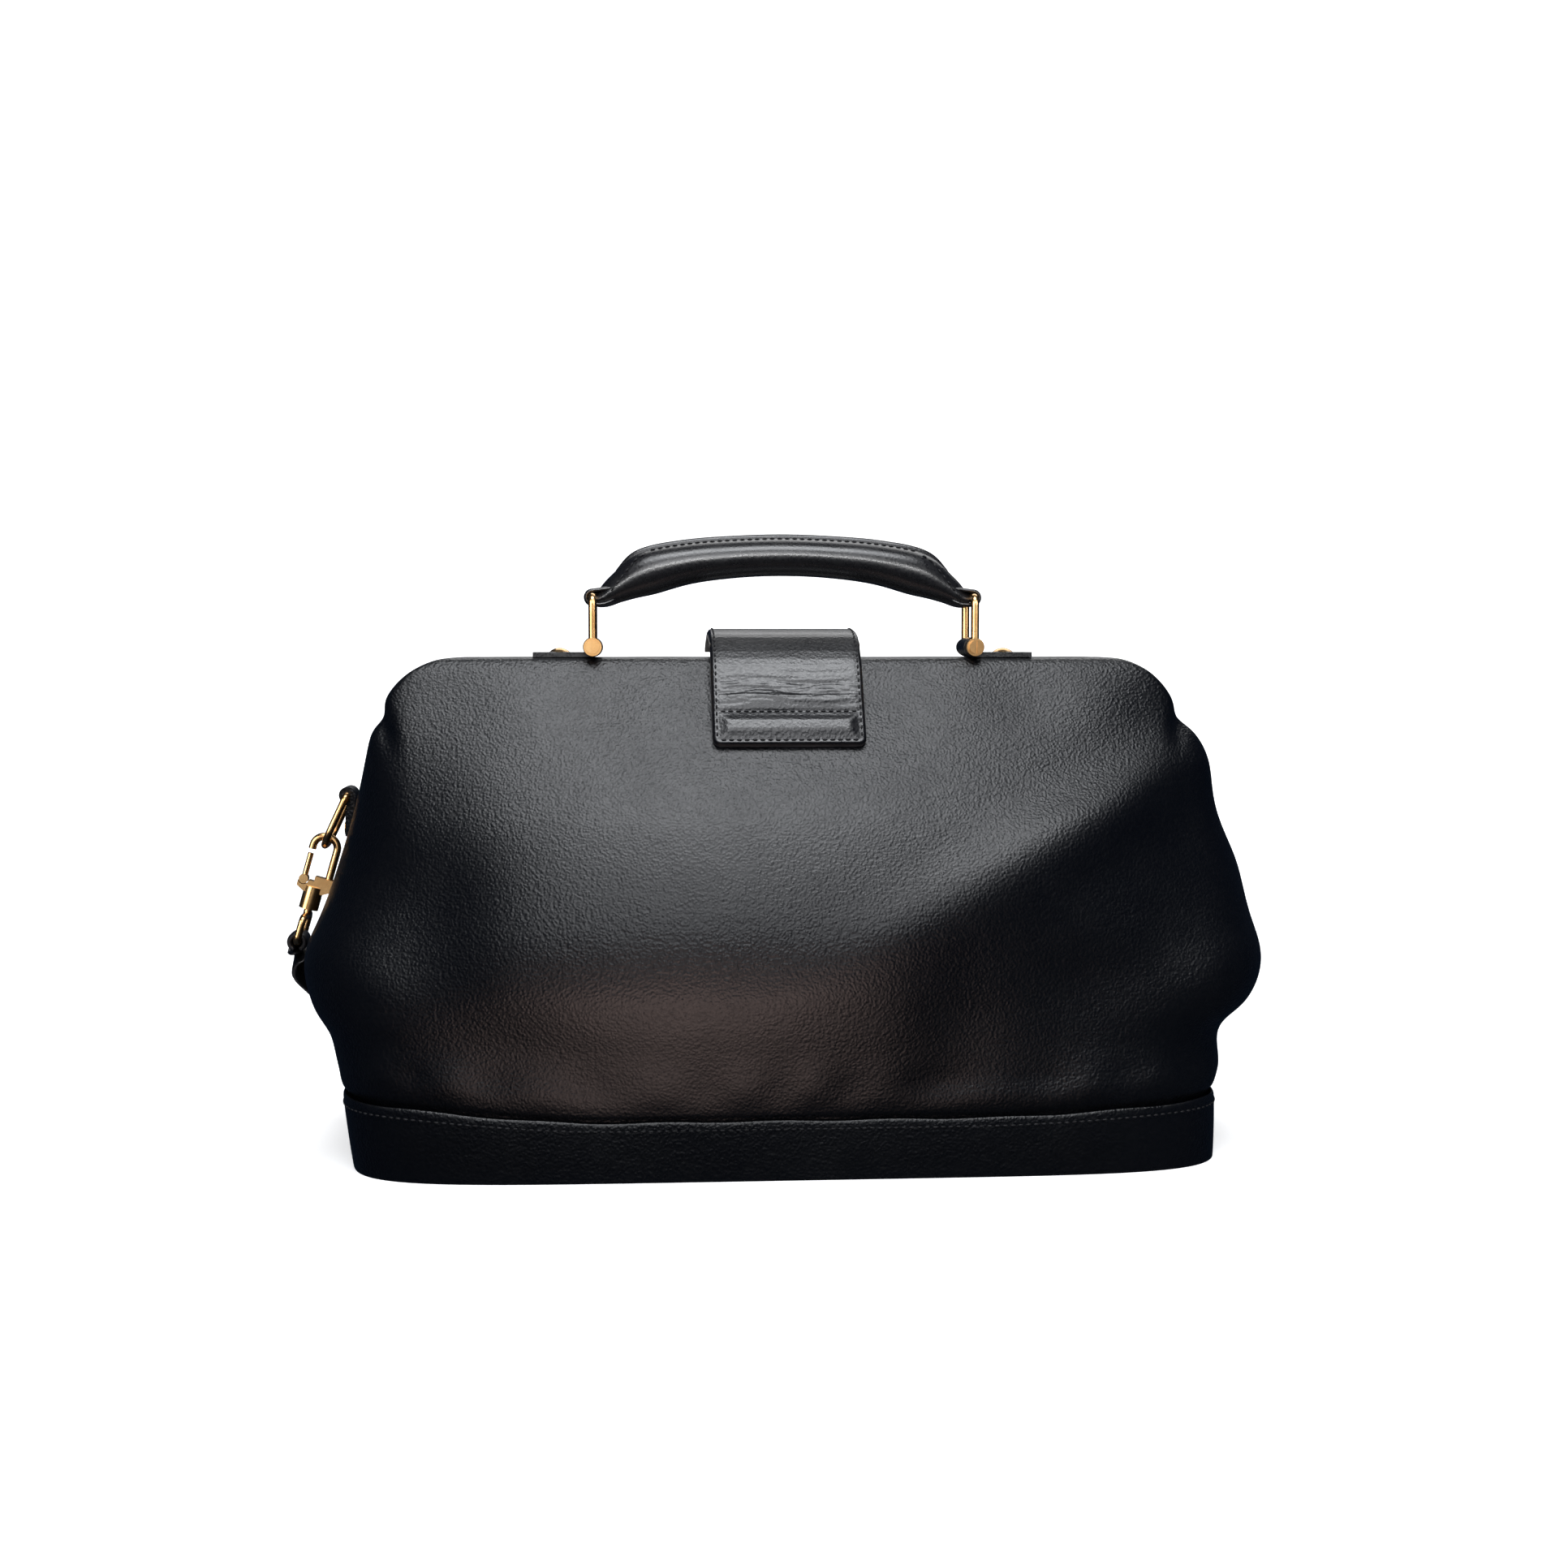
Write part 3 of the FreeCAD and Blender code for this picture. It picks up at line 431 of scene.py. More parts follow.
# ================================ the leather skin ==============================================
def half_section(half_x, half_y, straight, squareness, inner, columns):
    """Half of a plan outline: half a superellipse at the front, with a straight run each side."""
    angle = np.linspace(math.pi, 0, 1200)
    c, s = np.cos(angle), np.sin(angle)
    side = max(straight, inner)
    x = half_x * np.sign(c) * np.abs(c) ** (2 / squareness)
    y = -(side + (half_y - side) * np.abs(s) ** (2 / squareness))
    x = np.concatenate([[-half_x] * 30, x, [half_x] * 30])
    y = np.concatenate([-np.linspace(inner, side, 30), y, -np.linspace(side, inner, 30)])
    run = running_length(np.column_stack([x, y]))
    share = np.linspace(0, run[-1], columns)
    return np.interp(share, run, x), np.interp(share, run, y)


def full_outline(half_x, half_y, squareness, columns):
    """The whole plan outline, front half first."""
    front = np.column_stack(half_section(half_x, half_y, 0.0, squareness, 0.0, columns))
    return np.concatenate([front, -front[1:-1]])


def hill(x, z, centre, reach, tilt_deg):
    """A soft hill of height 1, with its own tilt in the XZ plane."""
    tilt = math.radians(tilt_deg)
    u = (x - centre[0]) * math.cos(tilt) + (z - centre[1]) * math.sin(tilt)
    v = -(x - centre[0]) * math.sin(tilt) + (z - centre[1]) * math.cos(tilt)
    return np.exp(-((u / reach[0]) ** 2 + (v / reach[1]) ** 2))


# the leather's hills and dents, in mm and degrees:
# centre (x, z), reach along and across, tilt, height
FRONT_FOLDS = [
    ((-8, 98), (84, 40), 0, 3.0),
    ((110, 77), (52, 30), 6, -9.5),
    ((62, 66), (18, 24), 0, -2.0),
    ((150, 58), (46, 14), 6, -1.2),
    ((112, 136), (88, 14), 27, 5.0),
    ((178, 118), (17, 34), 0, 7.0),
    ((170, 155), (10, 20), 0, 3.5),
    ((176, 82), (22, 14), 8, 5.0),
    ((174, 52), (24, 9), 10, -3.0),
    ((161, 180), (3.6, 12), -20, -3.2),
    ((-161, 181), (3.4, 12), 20, -4.0),
    ((-118, 60), (44, 20), -14, -3.5),
    ((-141, 106), (24, 28), 14, -4.2),
    ((-156, 158), (12, 34), 14, 1.5),
    ((-176, 84), (24, 12), -14, 3.0),
    ((60, 40), (34, 9), 4, -1.0),
]
BACK_FOLDS = [
    ((0, 90), (100, 40), 0, 3.0),
    ((128, 60), (42, 22), 14, -5.0),
    ((-126, 78), (44, 26), -16, -6.0),
    ((-170, 70), (34, 10), -10, 4.0),
    ((166, 82), (32, 10), 16, 1.0),
    ((-140, 146), (60, 12), -32, 3.0),
    ((146, 150), (18, 40), -14, 2.5),
]


def lifted_ends(points):
    """The band's top edge rises towards both ends of the bag, and leans out at the left one."""
    x, z = points[..., 0].copy(), points[..., 2].copy()
    band_top, end_start, end_length = 28.0, 70.0, 100.0
    share = np.clip(z / band_top, 0, 1) * (1 - smoothstep((z - 30.0) / 44.0))
    for side, rise, lean in ((-1, 6.5, 5.0), (1, 3.2, 0.8)):
        end = smoothstep((side * x - end_start) / end_length) * share
        points[..., 2] += rise * end
        points[..., 0] += side * lean * end
    return points


def skin(name, side, folds):
    """One half of the bag's leather: from the frame's top over shoulder and belly to the band.

    Side is -1 for the front and 1 for the back. The half is built at -Y, then mirrored if need be.
    """
    grid = np.zeros((SKIN_ROWS, SKIN_COLUMNS, 3))
    for row, (z, half_x, half_y, straight, square) in zip(grid, spline(SKIN_LEVELS, SKIN_ROWS)):
        inner = INNER_EDGE * smoothstep((z - PARTING_Z) / PARTING)
        row[:, 0], row[:, 1] = half_section(half_x, half_y, straight, square, inner, SKIN_COLUMNS)
        row[:, 2] = z
    normal = np.cross(np.gradient(grid, axis=1), np.gradient(grid, axis=0))
    normal /= np.maximum(np.linalg.norm(normal, axis=2, keepdims=True), 1e-9)
    x, y, z = grid[..., 0], grid[..., 1], grid[..., 2]

    height = sum(h * hill(x, z, centre, reach, tilt) for centre, reach, tilt, h in folds)
    free = smoothstep((z - FOLDS_START) / FOLDS_GROW) * smoothstep((FOLDS_END - z) / FOLDS_DIE)
    near_hinge = smoothstep(np.hypot(y, z - HINGE_Z / MM) / HINGE_CALM)
    off_seam = smoothstep(-y / SEAM_CALM)
    gather = (0.7 * np.sin(x * 0.19 + 1.3 * np.sin(x * 0.043))
              * np.exp(-((z - 36.0) / 11.0) ** 2))
    ripple = (0.5 * np.sin(x * 0.11 + 0.5) * np.exp(-((z - 186.0) / 14.0) ** 2)
              * smoothstep((60.0 + y) / 20.0))
    beside = 1 - smoothstep((np.abs(-side * y - HOLLOW_Y) - 10.0) / 16.0)
    hollow = np.exp(-((z - HOLLOW_Z) / 16.0) ** 2) * beside * (x > 0)
    move = ((height * near_hinge * off_seam + gather) * free + ripple * off_seam
            - HOLLOW_DEPTH * hollow)
    grid += normal * move[..., None]
    grid[..., 1] = np.minimum(grid[..., 1], 0.0)
    grid[..., 1] *= -side
    grid = lifted_ends(grid)

    piece = new_object(name, grid.reshape(-1, 3) * MM, grid_faces(SKIN_ROWS, SKIN_COLUMNS),
                       BODY, LINING)
    if side > 0:
        piece.data.flip_normals()
    solid = thicken(piece, SKIN_THICK)
    solid.use_even_offset = False
    solid.material_offset = 1
    solid.material_offset_rim = 0
    subdivide(piece, 1)
    return piece


def mouth_web(name, side, half):
    """The folded leather between the arms of the two halves. It is built in one shape and does not fan out as the
    mouth opens.
    """
    rows, columns, from_middle = 16, 9, 1.0 * MM
    vertices = []
    for r in range(rows):
        for c in range(columns):
            inward = c / (columns - 1)
            z = HINGE_Z / MM - 2 + r * (46.0 - 16.0 * inward) / (rows - 1)
            x = np.interp(z, SKIN_LEVELS[:, 0], SKIN_LEVELS[:, 1]) - 2.6
            x -= 12.0 * math.sin(inward * math.pi / 2)
            vertices.append((side * x * MM, half * from_middle * (1 - inward), z * MM))
    piece = new_object(name, vertices, grid_faces(rows, columns), BODY)
    thicken(piece, 0.5 * MM, 0.0)
    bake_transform(piece)


def build_skins():
    for half, side, gusset, folds in (("front", -1, "gusset_left", FRONT_FOLDS),
                                      ("back", 1, "gusset_right", BACK_FOLDS)):
        piece = skin(f"skin_{half}", side, folds)
        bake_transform(piece)
        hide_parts(f"{half}_panel", f"shoulder_{half}", f"frame_cover_{half}", gusset)
        for side_name, x_side in (("left", -1), ("right", 1)):
            mouth_web(f"web_{half}_{side_name}", x_side, side)


# ================================ base =========================================================
BAND_PROFILE = [              # push outwards and height, in mm, from the turned top edge down
    (-1.9, 25.0), (-1.6, 27.2), (-0.9, 28.0), (-0.2, 27.4), (0.0, 26.0), (0.15, 22.0),
    (0.35, 15.0), (0.35, 7.0), (0.25, 3.0), (-0.5, 1.4), (-2.2, 0.9), (-7.0, 0.9),
]
BAND_SQUARENESS = 5.8
BAND_SEAM_Z = 24.6


def base_outline(push):
    return full_outline(BAND_X / MM + push, BAND_Y / MM + push, BAND_SQUARENESS, 220)


def build_base():
    """The band round the foot of the bag, with a turned top edge and its row of stitches."""
    columns = len(base_outline(0.0))
    wave = 0.25 * np.sin(np.arange(columns) * 0.31)
    rows = [np.column_stack([base_outline(push), z + wave * smoothstep((z - 20) / 8)])
            for push, z in BAND_PROFILE]
    vertices = lifted_ends(np.concatenate(rows)) * MM
    band = new_object("base_band_leather", vertices, grid_faces(len(rows), columns, True), BODY)
    band.data.flip_normals()
    subdivide(band, 1)
    settle(band, "root", "body_leather", "base_band")

    outline = base_outline(0.02)
    outline = np.concatenate([outline, outline[:1]])
    normals = unit(np.column_stack([outline, np.zeros(len(outline))]))
    points = lifted_ends(np.column_stack([outline, np.full(len(outline), BAND_SEAM_Z)])) * MM
    settle(stitch_row("base_band_stitches", points, normals), "root", "strap_leather")


def build_lining():
    """The lining's lower tub. Above it the skin's own inner face is lined."""
    inside_skin, columns = 19.0, 120
    rings = []
    for inset, z in ((60.0, 11.6), (12.0, 11.6), (7.0, 13.5)):
        rings.append((full_outline(168.0 - inset, 82.0 - inset, 4.4, columns), z))
    for z, half_x, half_y, _, square in SKIN_LEVELS:
        if 24 < z < 100:
            outline = full_outline(half_x - inside_skin, half_y - inside_skin, square, columns)
            rings.append((outline, z))
    rows = [np.column_stack([outline, np.full(len(outline), z)]) for outline, z in rings]
    around = len(rows[0])
    faces = grid_faces(len(rows), around, True) + [tuple(reversed(range(around)))]
    tub = new_object("lining_tub", np.concatenate(rows) * MM, faces, LINING)
    thicken(tub, 0.8 * MM)
    settle(tub, "root", "lining", "lining")


# ================================ handle ======================================================
GRIP = np.array([             # x, z of the centre line, half height, half depth, in mm
    (-76.0, 225.9, 2.8, 7.6),
    (-72.0, 227.4, 4.3, 8.2),
    (-66.0, 231.3, 6.2, 9.0),
    (-55.0, 236.9, 9.0, 10.2),
    (-38.0, 241.0, 8.4, 10.7),
    (-19.0, 243.0, 7.9, 10.9),
    (0.0, 243.7, 7.8, 11.0),
])
GRIP = np.concatenate([GRIP, GRIP[-2::-1] * (-1, 1, 1, 1)])


def grip_frames(samples):
    """Centre, up direction, half height and half depth (metres) along the grip."""
    table = spline(GRIP, samples)
    x, z = table[:, 0], table[:, 1]
    slope = np.gradient(z, x)
    scale = np.sqrt(1 + slope ** 2)
    up = np.stack([-slope / scale, np.zeros(samples), 1 / scale], 1)
    centre = np.stack([x * MM, np.full(samples, HANDLE_Y), z * MM], 1)
    return centre, up, table[:, 2] * MM, table[:, 3] * MM


FIN = [                       # section of the seam along the grip's top: across and up, in mm
    (-2.4, -1.6), (-1.9, -0.2), (-1.5, 0.7), (-0.6, 1.0),
    (0.6, 1.0), (1.5, 0.7), (1.9, -0.2), (2.4, -1.6),
]
FIN_RISE, FIN_END = 1.5 * MM, 0.86                # its height, and its end as a share of the grip
GRIP_HALF = 76 * MM


def build_handle():
    samples, around = 72, 32
    centre, up, half_z, half_y = grip_frames(samples)
    share = np.abs(centre[:, 0]) / GRIP_HALF

    def on_grip(i, angle, near=1):
        """A point of the grip's surface, by its angle above the horizontal."""
        return (centre[i] + up[i] * math.sin(angle) * half_z[i]
                + np.array([0, near * math.cos(angle) * half_y[i], 0]))

    vertices = [on_grip(i, 2 * math.pi * k / around) for i in range(samples) for k in range(around)]
    grip = new_object("handle_grip_leather", vertices, tube_faces(samples, around), SMOOTH)
    grip.data.flip_normals()
    subdivide(grip, 1)
    settle(grip, "handle", "handle_leather", "handle_grip", "handle_core")

    # the cover's two edges meet along the top in a raised fin, which dies out towards both ends
    inside = np.flatnonzero(share < FIN_END)
    vertices = []
    for i in inside:
        rise = FIN_RISE * float(smoothstep((FIN_END - share[i]) / 0.12))
        for y, h in FIN:
            level = half_z[i] + (rise * h if h > 0 else h * MM)
            vertices.append(centre[i] + up[i] * level + np.array([0, y * MM, 0]))
    fin = new_object("handle_seam_fin", vertices, grid_faces(len(inside), len(FIN), True), SMOOTH)
    fin.data.flip_normals()
    subdivide(fin, 1)
    settle(fin, "handle", "handle_leather")

    def stitches(name, spots):
        """Spots are (index along the grip, angle above the horizontal, near or far face)."""
        line, facing = [], []
        for i, angle, near in spots:
            normal = unit(np.array([0, near * math.cos(angle) / half_y[i], 0])
                          + up[i] * math.sin(angle) / half_z[i])
            line.append(on_grip(i, angle, near) + normal * 0.05 * MM)
            facing.append(normal)
        settle(stitch_row(name, line, facing), "handle", "strap_leather")

    for word, near in (("near", -1), ("far", 1)):
        top = [(i, math.radians(68), near) for i in np.flatnonzero(share < 0.7)]
        stitches(f"handle_stitches_{word}", top)
        for side_name, side in (("left", -1), ("right", 1)):
            spots = []
            for step in np.arange(14) / 13:
                x = side * (0.71 + 0.24 * step) * GRIP_HALF
                i = int(np.argmin(np.abs(centre[:, 0] - x)))
                spots.append((i, math.radians(60 - 66 * step), near))
            stitches(f"handle_end_stitches_{side_name}_{word}", spots)
    for name, side in (("left", -1), ("right", 1)):
        handle_end(name, side)


def handle_end(name, side):
    """The leather that wraps over the link's bar and runs back under the grip."""
    bar_x, bar_radius = side * LINK_X, 1.75 * MM
    thick, half_y = 1.9 * MM, 8.0 * MM
    reach = bar_radius + thick / 2
    path = [(side * 66 * MM, 231.6 * MM), (side * 71 * MM, 230.6 * MM)]
    for angle in np.radians(np.linspace(95, -100, 16)):
        path.append((bar_x + side * reach * math.cos(angle), LINK_BAR_Z + reach * math.sin(angle)))
    path += [(side * 72 * MM, 224.0 * MM), (side * 66 * MM, 227.6 * MM)]
    path = np.array(path)
    tangent = unit(np.gradient(path, axis=0))
    across = np.stack([-tangent[:, 1], tangent[:, 0]], 1)
    ring = [(-1, -1), (0, -1), (1, -1), (1.05, 0), (1, 1), (0, 1), (-1, 1), (-1.05, 0)]
    vertices = []
    for p, n in zip(path, across):
        for w, h in ring:
            x, z = p + n * h * thick / 2
            vertices.append((x, HANDLE_Y + w * half_y, z))
    faces = tube_faces(len(path), len(ring))
    piece = new_object(f"handle_end_strap_{name}", vertices, faces, SMOOTH)
    if side > 0:
        piece.data.flip_normals()
    subdivide(piece, 1)
    settle(piece, "handle", "handle_leather", f"handle_loop_{name}")


# ================================ closure strap ================================================
def closure_path():
    """Centre line of the strap in Y and Z (mm): up the front, over the arch, to its free end."""
    foot = np.array([-51.0, 168.5])
    arch_radius, hinge = 71.0, HINGE_Z / MM
    pivot = np.array([STRAP_PIVOT.y, STRAP_PIVOT.z]) / MM
    rise = [foot + (pivot - foot) * share for share in np.linspace(0, 0.86, 22)]
    arch = [(arch_radius * math.sin(angle), hinge + arch_radius * math.cos(angle))
            for angle in np.radians(np.linspace(-17.0, 24.0, 30))]
    path = np.concatenate([rise, arch])
    for _ in range(3):
        path[1:-1] = (path[:-2] + 2 * path[1:-1] + path[2:]) / 4
    return path


BOX_TOP = 15.0                # mm from the strap's foot to the top of its stitched box
TIP_CORNER = 3.5              # mm, radius of the strap's corners


def bell(value, width):
    return math.exp(-(value / width) ** 2)


def closure_relief(s, x, share, end, edge, half):
    """Height of the strap's face over its core, in mm.

    s is the distance from the foot and x from the middle, share is x over the half width, end is
    the distance to the nearer end but is not used, and edge is the distance to the nearest edge.
    """
    rim = smoothstep(edge / 1.1)
    pad = 1.2 * smoothstep(min(s - 2.4, BOX_TOP - 0.8 - s, half - abs(x) - 2.6) / 4.5)
    groove = -0.45 * bell(s - BOX_TOP, 0.7) * (1 - abs(share) ** 12)
    seam = -0.25 * bell(edge - 2.0, 0.7)
    flex = bell(s - 24.0, 7.0) * (1 - abs(share) ** 6)
    swell = 0.9 * bell(s - 20.5, 3.2) * (1 - share ** 2)
    wrinkle = swell + seam + flex * (
        0.16 * math.sin(s * 1.25 + 1.6 * math.sin(x * 0.13) + 0.4)
        + 0.13 * math.sin(s * 2.6 + 1.8 * math.sin(x * 0.22 + 1.0)) * math.sin(x * 0.25 + 0.8)
        + 0.07 * math.sin(s * 4.3 + 2.2 * math.sin(x * 0.31)) * math.sin(x * 0.43 + s * 0.2))
    return 0.7 + 1.1 * rim + pad + groove + wrinkle


def build_closure():
    path = closure_path()
    run = running_length(path)
    total, half, samples, columns, back = run[-1], STRAP_HALF / MM, 210, 61, 1.2
    stations = np.linspace(0, total, samples)
    y, z = np.interp(stations, run, path[:, 0]), np.interp(stations, run, path[:, 1])
    slope = unit(np.stack([np.gradient(y), np.gradient(z)], 1))
    out = np.stack([-slope[:, 1], slope[:, 0]], 1)
    top, bottom = [], []
    for s, yy, zz, n in zip(stations, y, z, out):
        end = min(s, total - s)
        past = max(TIP_CORNER - end, 0.0)
        width = half - TIP_CORNER + math.sqrt(TIP_CORNER ** 2 - past ** 2)
        for share in 2 * np.arange(columns) / (columns - 1) - 1:
            x = share * width
            height = closure_relief(s, x, share, end, min(end, width - abs(x)), half)
            top.append((x, yy + n[0] * height, zz + n[1] * height))
            bottom.append((x, yy - n[0] * back, zz - n[1] * back))
    size = samples * columns
    faces = [tuple(reversed(f)) for f in grid_faces(samples, columns)]
    faces += grid_faces(samples, columns, start=size)
    rim = ([r * columns for r in range(samples)]
           + [(samples - 1) * columns + c for c in range(1, columns)]
           + [r * columns + columns - 1 for r in range(samples - 2, -1, -1)]
           + [c for c in range(columns - 2, 0, -1)])
    faces += [(a, b, b + size, a + size) for a, b in zip(rim, rim[1:] + rim[:1])]
    strap = new_object("closure_strap_leather", np.array(top + bottom) * MM, faces, TAB, EDGE)
    for polygon in list(strap.data.polygons)[-len(rim):]:
        polygon.material_index = 1
    face_outwards(strap)
    subdivide(strap, 1)

    def hang(piece, *replaced):
        """The piece is baked in place and stands in for the given CAD nodes. The strap lifts off just above its
        sewn foot, but the piece does not bend there.
        """
        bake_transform(piece)
        if replaced:
            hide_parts(*replaced)

    hang(strap, "closure_strap", "closure_foot")

    def stitches(name, spots, lift):
        line, facing = [], []
        for x, s in spots:
            yy, zz, ny, nz = (np.interp(s, stations, data) for data in (y, z, out[:, 0], out[:, 1]))
            line.append((x * MM, (yy + ny * lift) * MM, (zz + nz * lift) * MM))
            facing.append((0, ny, nz))
        hang(stitch_row(name, line, facing))

    edge, on_rim, on_box = half - 1.9, 1.75, 1.55
    across, down = np.linspace(-edge + 1, edge - 1, 30), np.linspace(3, total - 3, 60)
    for name, x in (("left", -edge), ("right", edge)):
        stitches(f"closure_stitches_{name}", [(x, s) for s in down], on_rim)
    stitches("closure_stitches_foot", [(x, 2.0) for x in across], on_rim)
    stitches("closure_stitches_tip", [(x, total - 2.0) for x in across], on_rim)
    stitches("closure_stitches_box", [(x, BOX_TOP) for x in across], on_box)


# ================================ side straps ==================================================
STRAP_RING = [                # section of a flat strap: share of its half width and half thickness
    (-1.0, 0.55), (-0.9, 1.0), (0.0, 1.12), (0.9, 1.0), (1.0, 0.55),
    (1.0, -0.55), (0.9, -1.0), (0.0, -1.05), (-0.9, -1.0), (-1.0, -0.55),
]
PAINTED_SIDES = (4, 9)        # the ring's two narrow sides
SHOULDER_HALF, SHOULDER_THICK = 8.0 * MM, 2.6 * MM


def strap_strip(name, centres, normals, half, thick):
    """A length of flat leather strap with rounded, painted edges."""
    centres, normals = np.array(centres), np.array(normals)
    vertices = []
    for p, n, t in zip(centres, normals, unit(np.gradient(centres, axis=0))):
        n = unit(n - t * (n @ t))
        w = np.cross(t, n)
        vertices += [p + w * a * half + n * b * thick / 2 for a, b in STRAP_RING]
    count = len(STRAP_RING)
    piece = new_object(name, vertices, tube_faces(len(centres), count), STRAP, EDGE)
    for i, polygon in enumerate(piece.data.polygons):
        if i < len(centres) * count and i % count in PAINTED_SIDES:
            polygon.material_index = 1
    face_outwards(piece)
    subdivide(piece, 1)
    return piece


def strap_path(side, start):
    """Centres and face normals from a strap's upper end to the middle of the floor run."""
    knots = np.array([
        start, start + np.array((side * 0.5, 3.0, -7.0)) * MM,
        (side * 0.1935, 0.027, 0.066), (side * 0.1835, 0.050, 0.047), (side * 0.170, 0.086, 0.028),
        (side * 0.144, 0.119, 0.014), (side * 0.104, 0.142, 0.0095), (side * 0.054, 0.156, 0.0092),
        (0, 0.160, 0.0092)])
    path = spline(knots, 90)
    along = np.gradient(path, axis=0)
    along[-1] = (-side, 0, 0)
    normals = unit(np.stack([along[:, 1], -along[:, 0], np.zeros(len(along))], 1))
    normals[:6] = (side, 0, 0)
    for _ in range(6):
        normals[1:-1] = (normals[:-2] + normals[1:-1] + normals[2:]) / 3
    return path, normals * side


def build_shoulder_strap():
    """From each swivel eye the strap drops, turns behind the bag and stands on its edge there."""
    cuts = (0, 13, 26, 58)                        # along the path: eye, hook, ring, floor
    wrap_radius = 3.1 * MM
    floor_run = []
    for name, side in (("left", -1), ("right", 1)):
        low, high = (np.array(corner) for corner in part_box(f"strap_end_{name}"))
        bar_x, bar_y, bar_z = (low[0] + high[0]) / 2, (low[1] + high[1]) / 2, high[2] - 4.2 * MM
        path, normals = strap_path(side, np.array((bar_x, bar_y, bar_z - 2 * MM)))
        for k in range(3):
            a, b = max(cuts[k] - 1, 0), cuts[k + 1] + 1
            strip = strap_strip(f"shoulder_strap_{name}_{k + 1}", path[a:b], normals[a:b],
                                SHOULDER_HALF, SHOULDER_THICK)
            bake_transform(strip)
        tail = list(zip(path[57:], normals[57:]))
        floor_run += tail if side < 0 else tail[-2::-1]

        angles = np.radians(np.linspace(-75, 255, 26))
        facing = [(side * math.cos(a), 0, math.sin(a)) for a in angles]
        around = [np.array((bar_x, bar_y, bar_z)) + wrap_radius * np.array(n) for n in facing]
        wrap = strap_strip(f"strap_wrap_{name}", around, facing, SHOULDER_HALF * 0.92, 2.2 * MM)
        settle(wrap, f"eye_{name}", "strap_leather", f"strap_end_{name}")
    middle = strap_strip("shoulder_strap_floor", [p for p, _ in floor_run],
                         [n for _, n in floor_run], SHOULDER_HALF, SHOULDER_THICK)
    settle(middle, "root", "strap_leather", "shoulder_strap")


# ================================ floor, light, camera =========================================
WHITE = (1, 1, 1)
DIM_ROOM = (0.008, 0.014, 0.028)      # what the leather reflects where there is no lamp


def softbox(name, place, aim, size, watts, colour=WHITE, lit=None):
    """An area lamp. With a list of pieces it lights only those."""
    light = bpy.data.lights.new(name, "AREA")
    light.shape = "RECTANGLE"
    light.size, light.size_y = size
    light.energy = watts
    light.color = colour
    lamp = bpy.data.objects.new(name, light)
    lamp.location = place
    lamp.rotation_euler = (Vector(aim) - Vector(place)).to_track_quat("-Z", "Y").to_euler()
    bpy.context.scene.collection.objects.link(lamp)
    if lit:
        light_only(lamp, lit)


def light_only(source, pieces):
    group = bpy.data.collections.new(f"{source.name}_lit")
    for piece in pieces:
        group.objects.link(piece)
    source.light_linking.receiver_collection = group


def build_floor():
    """A pale floor that runs up into a wall. Neither shows in the leather's reflections."""
    profile = [(-2.5, 0.0), (1.2, 0.0), (1.7, 0.08), (2.05, 0.35), (2.2, 0.9), (2.2, 3.2)]
    vertices = [(x, y, z) for y, z in profile for x in (-4.0, 4.0)]
    n = Nodes("studio_paper")
    tone = n.ramp(n.noise(1.5, 2.0), (0.3, 0.88), (0.7, 0.90))
    glow = n.ramp(n.sphere(n.stretched((0.6, 0.6, 0.6))), (0.0, 1.0), (0.55, 0.55))
    paper = n.finish(Base_Color=tone, Roughness=0.9, Emission_Color=(*WHITE, 1),
                     Emission_Strength=glow, Normal=n.bump(n.noise(900.0, 2.0), 0.0002, 0.1))
    floor = new_object("studio_floor", vertices, grid_faces(len(profile), 2), paper)
    subdivide(floor, 2)
    floor.visible_glossy = False
    floor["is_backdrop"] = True


def build_world():
    """White to the camera, dim and bluish to everything else."""
    world = bpy.data.worlds.new("studio")
    bpy.context.scene.world = world
    world.use_nodes = True
    tree = world.node_tree
    path = tree.nodes.new("ShaderNodeLightPath")
    mix = tree.nodes.new("ShaderNodeMix")
    mix.data_type = "RGBA"
    mix.inputs["A"].default_value = (*DIM_ROOM, 1)
    mix.inputs["B"].default_value = (*WHITE, 1)
    tree.links.new(path.outputs["Is Camera Ray"], mix.inputs["Factor"])
    tree.links.new(mix.outputs["Result"], tree.nodes["Background"].inputs["Color"])


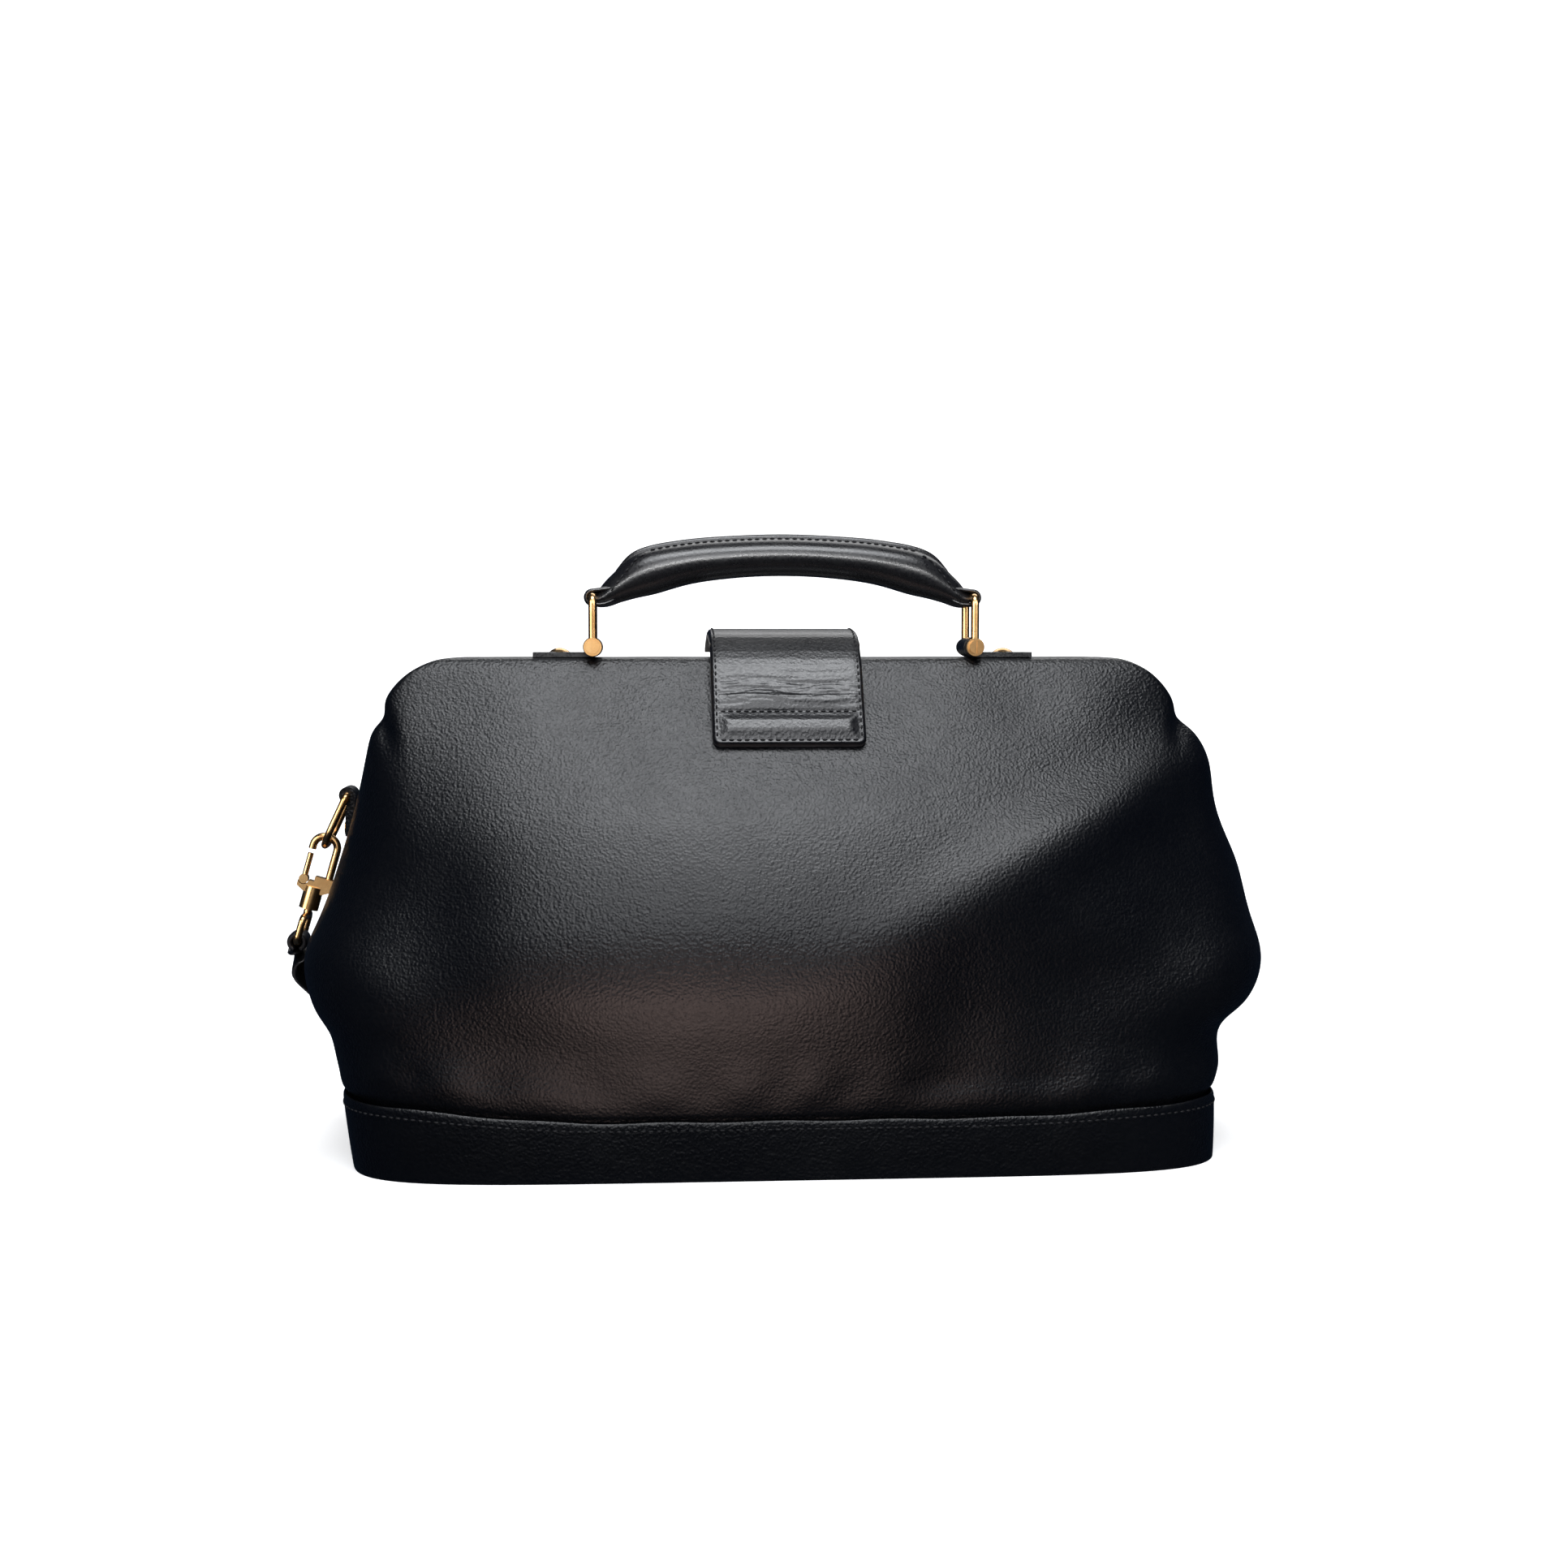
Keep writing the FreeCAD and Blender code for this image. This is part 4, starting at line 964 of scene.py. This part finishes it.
def warm_reflection_card():
    """A glowing warm card before the bag: a painted reflection of a table top on the skins. Only the skins'
    reflections see it.
    """
    n = Nodes("warm_reflection_card")
    glow = n.ramp(n.sphere(n.place), (0.0, 0.0), (0.55, 1.0))
    # the card's warm glow is a painted reflection, low on the front of the skins
    look = n.finish(Base_Color=(0, 0, 0, 1), Roughness=1.0, Specular_IOR_Level=0.0,
                    Emission_Color=(1.0, 0.74, 0.67, 1),
                    Emission_Strength=n.math("MULTIPLY", glow, 3.2))
    corners = [(-1, -1, 0), (1, -1, 0), (1, 1, 0), (-1, 1, 0)]
    card = new_object("warm_reflection_card", corners, [(0, 1, 2, 3)], look)
    card.scale = (0.185, 0.34, 1)
    card.location = (-0.045, -0.44, 0.002)
    card.visible_camera = card.visible_diffuse = card.visible_shadow = False
    light_only(card, [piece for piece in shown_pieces() if piece.name.startswith("skin_")])
    card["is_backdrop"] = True


def build_lamps():
    softbox("key_overhead", (-0.02, -0.44, 1.34), (0, -0.02, 0.16), (1.0, 0.55), 13.5,
            (0.95, 0.97, 1.0))
    softbox("front_haze", (-0.08, -1.20, 0.92), (-0.02, 0, 0.14), (0.66, 0.66), 6.0,
            (0.96, 0.97, 1.0))
    softbox("back_fill", (0.3, 1.4, 1.5), (0, 0, 0.1), (1.6, 1.2), 12.0)
    brass = [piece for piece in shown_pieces() if BRASS in list(piece.data.materials)]
    for name, place, watts in (("brass_left", (-1.1, -1.0, 0.55), 17.0),
                               ("brass_right", (1.0, -1.1, 0.75), 13.0),
                               ("brass_front", (-0.12, -1.9, 0.42), 4.0)):
        softbox(name, place, (0, 0, 0.16), (0.9, 1.0), watts, (1.0, 0.93, 0.85), lit=brass)
    grip = [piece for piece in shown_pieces()
            if piece.name.startswith("handle_") and SMOOTH in list(piece.data.materials)]
    softbox("grip_strip", (-0.05, -1.15, 0.56), (0, 0, 0.24), (1.3, 0.08), 10.0, lit=grip)


def build_camera():
    pitch, yaw = 3.58, -4.22                      # degrees, down and to the right
    camera = bpy.data.cameras.new("camera")
    camera.lens, camera.sensor_width = 50.07, 36.0
    camera.clip_start, camera.clip_end = 0.01, 50.0
    eye = bpy.data.objects.new("camera", camera)
    eye.location = (-0.065, -0.900, 0.207)
    eye.rotation_euler = (math.radians(90 - pitch), 0, math.radians(yaw))
    bpy.context.scene.collection.objects.link(eye)
    bpy.context.scene.camera = eye


finish_cad_nodes()
build_skins()
build_base()
build_lining()
build_handle()
build_closure()
build_shoulder_strap()
build_floor()
build_world()
build_lamps()
warm_reflection_card()
build_camera()
bpy.context.scene.view_settings.view_transform = "Standard"
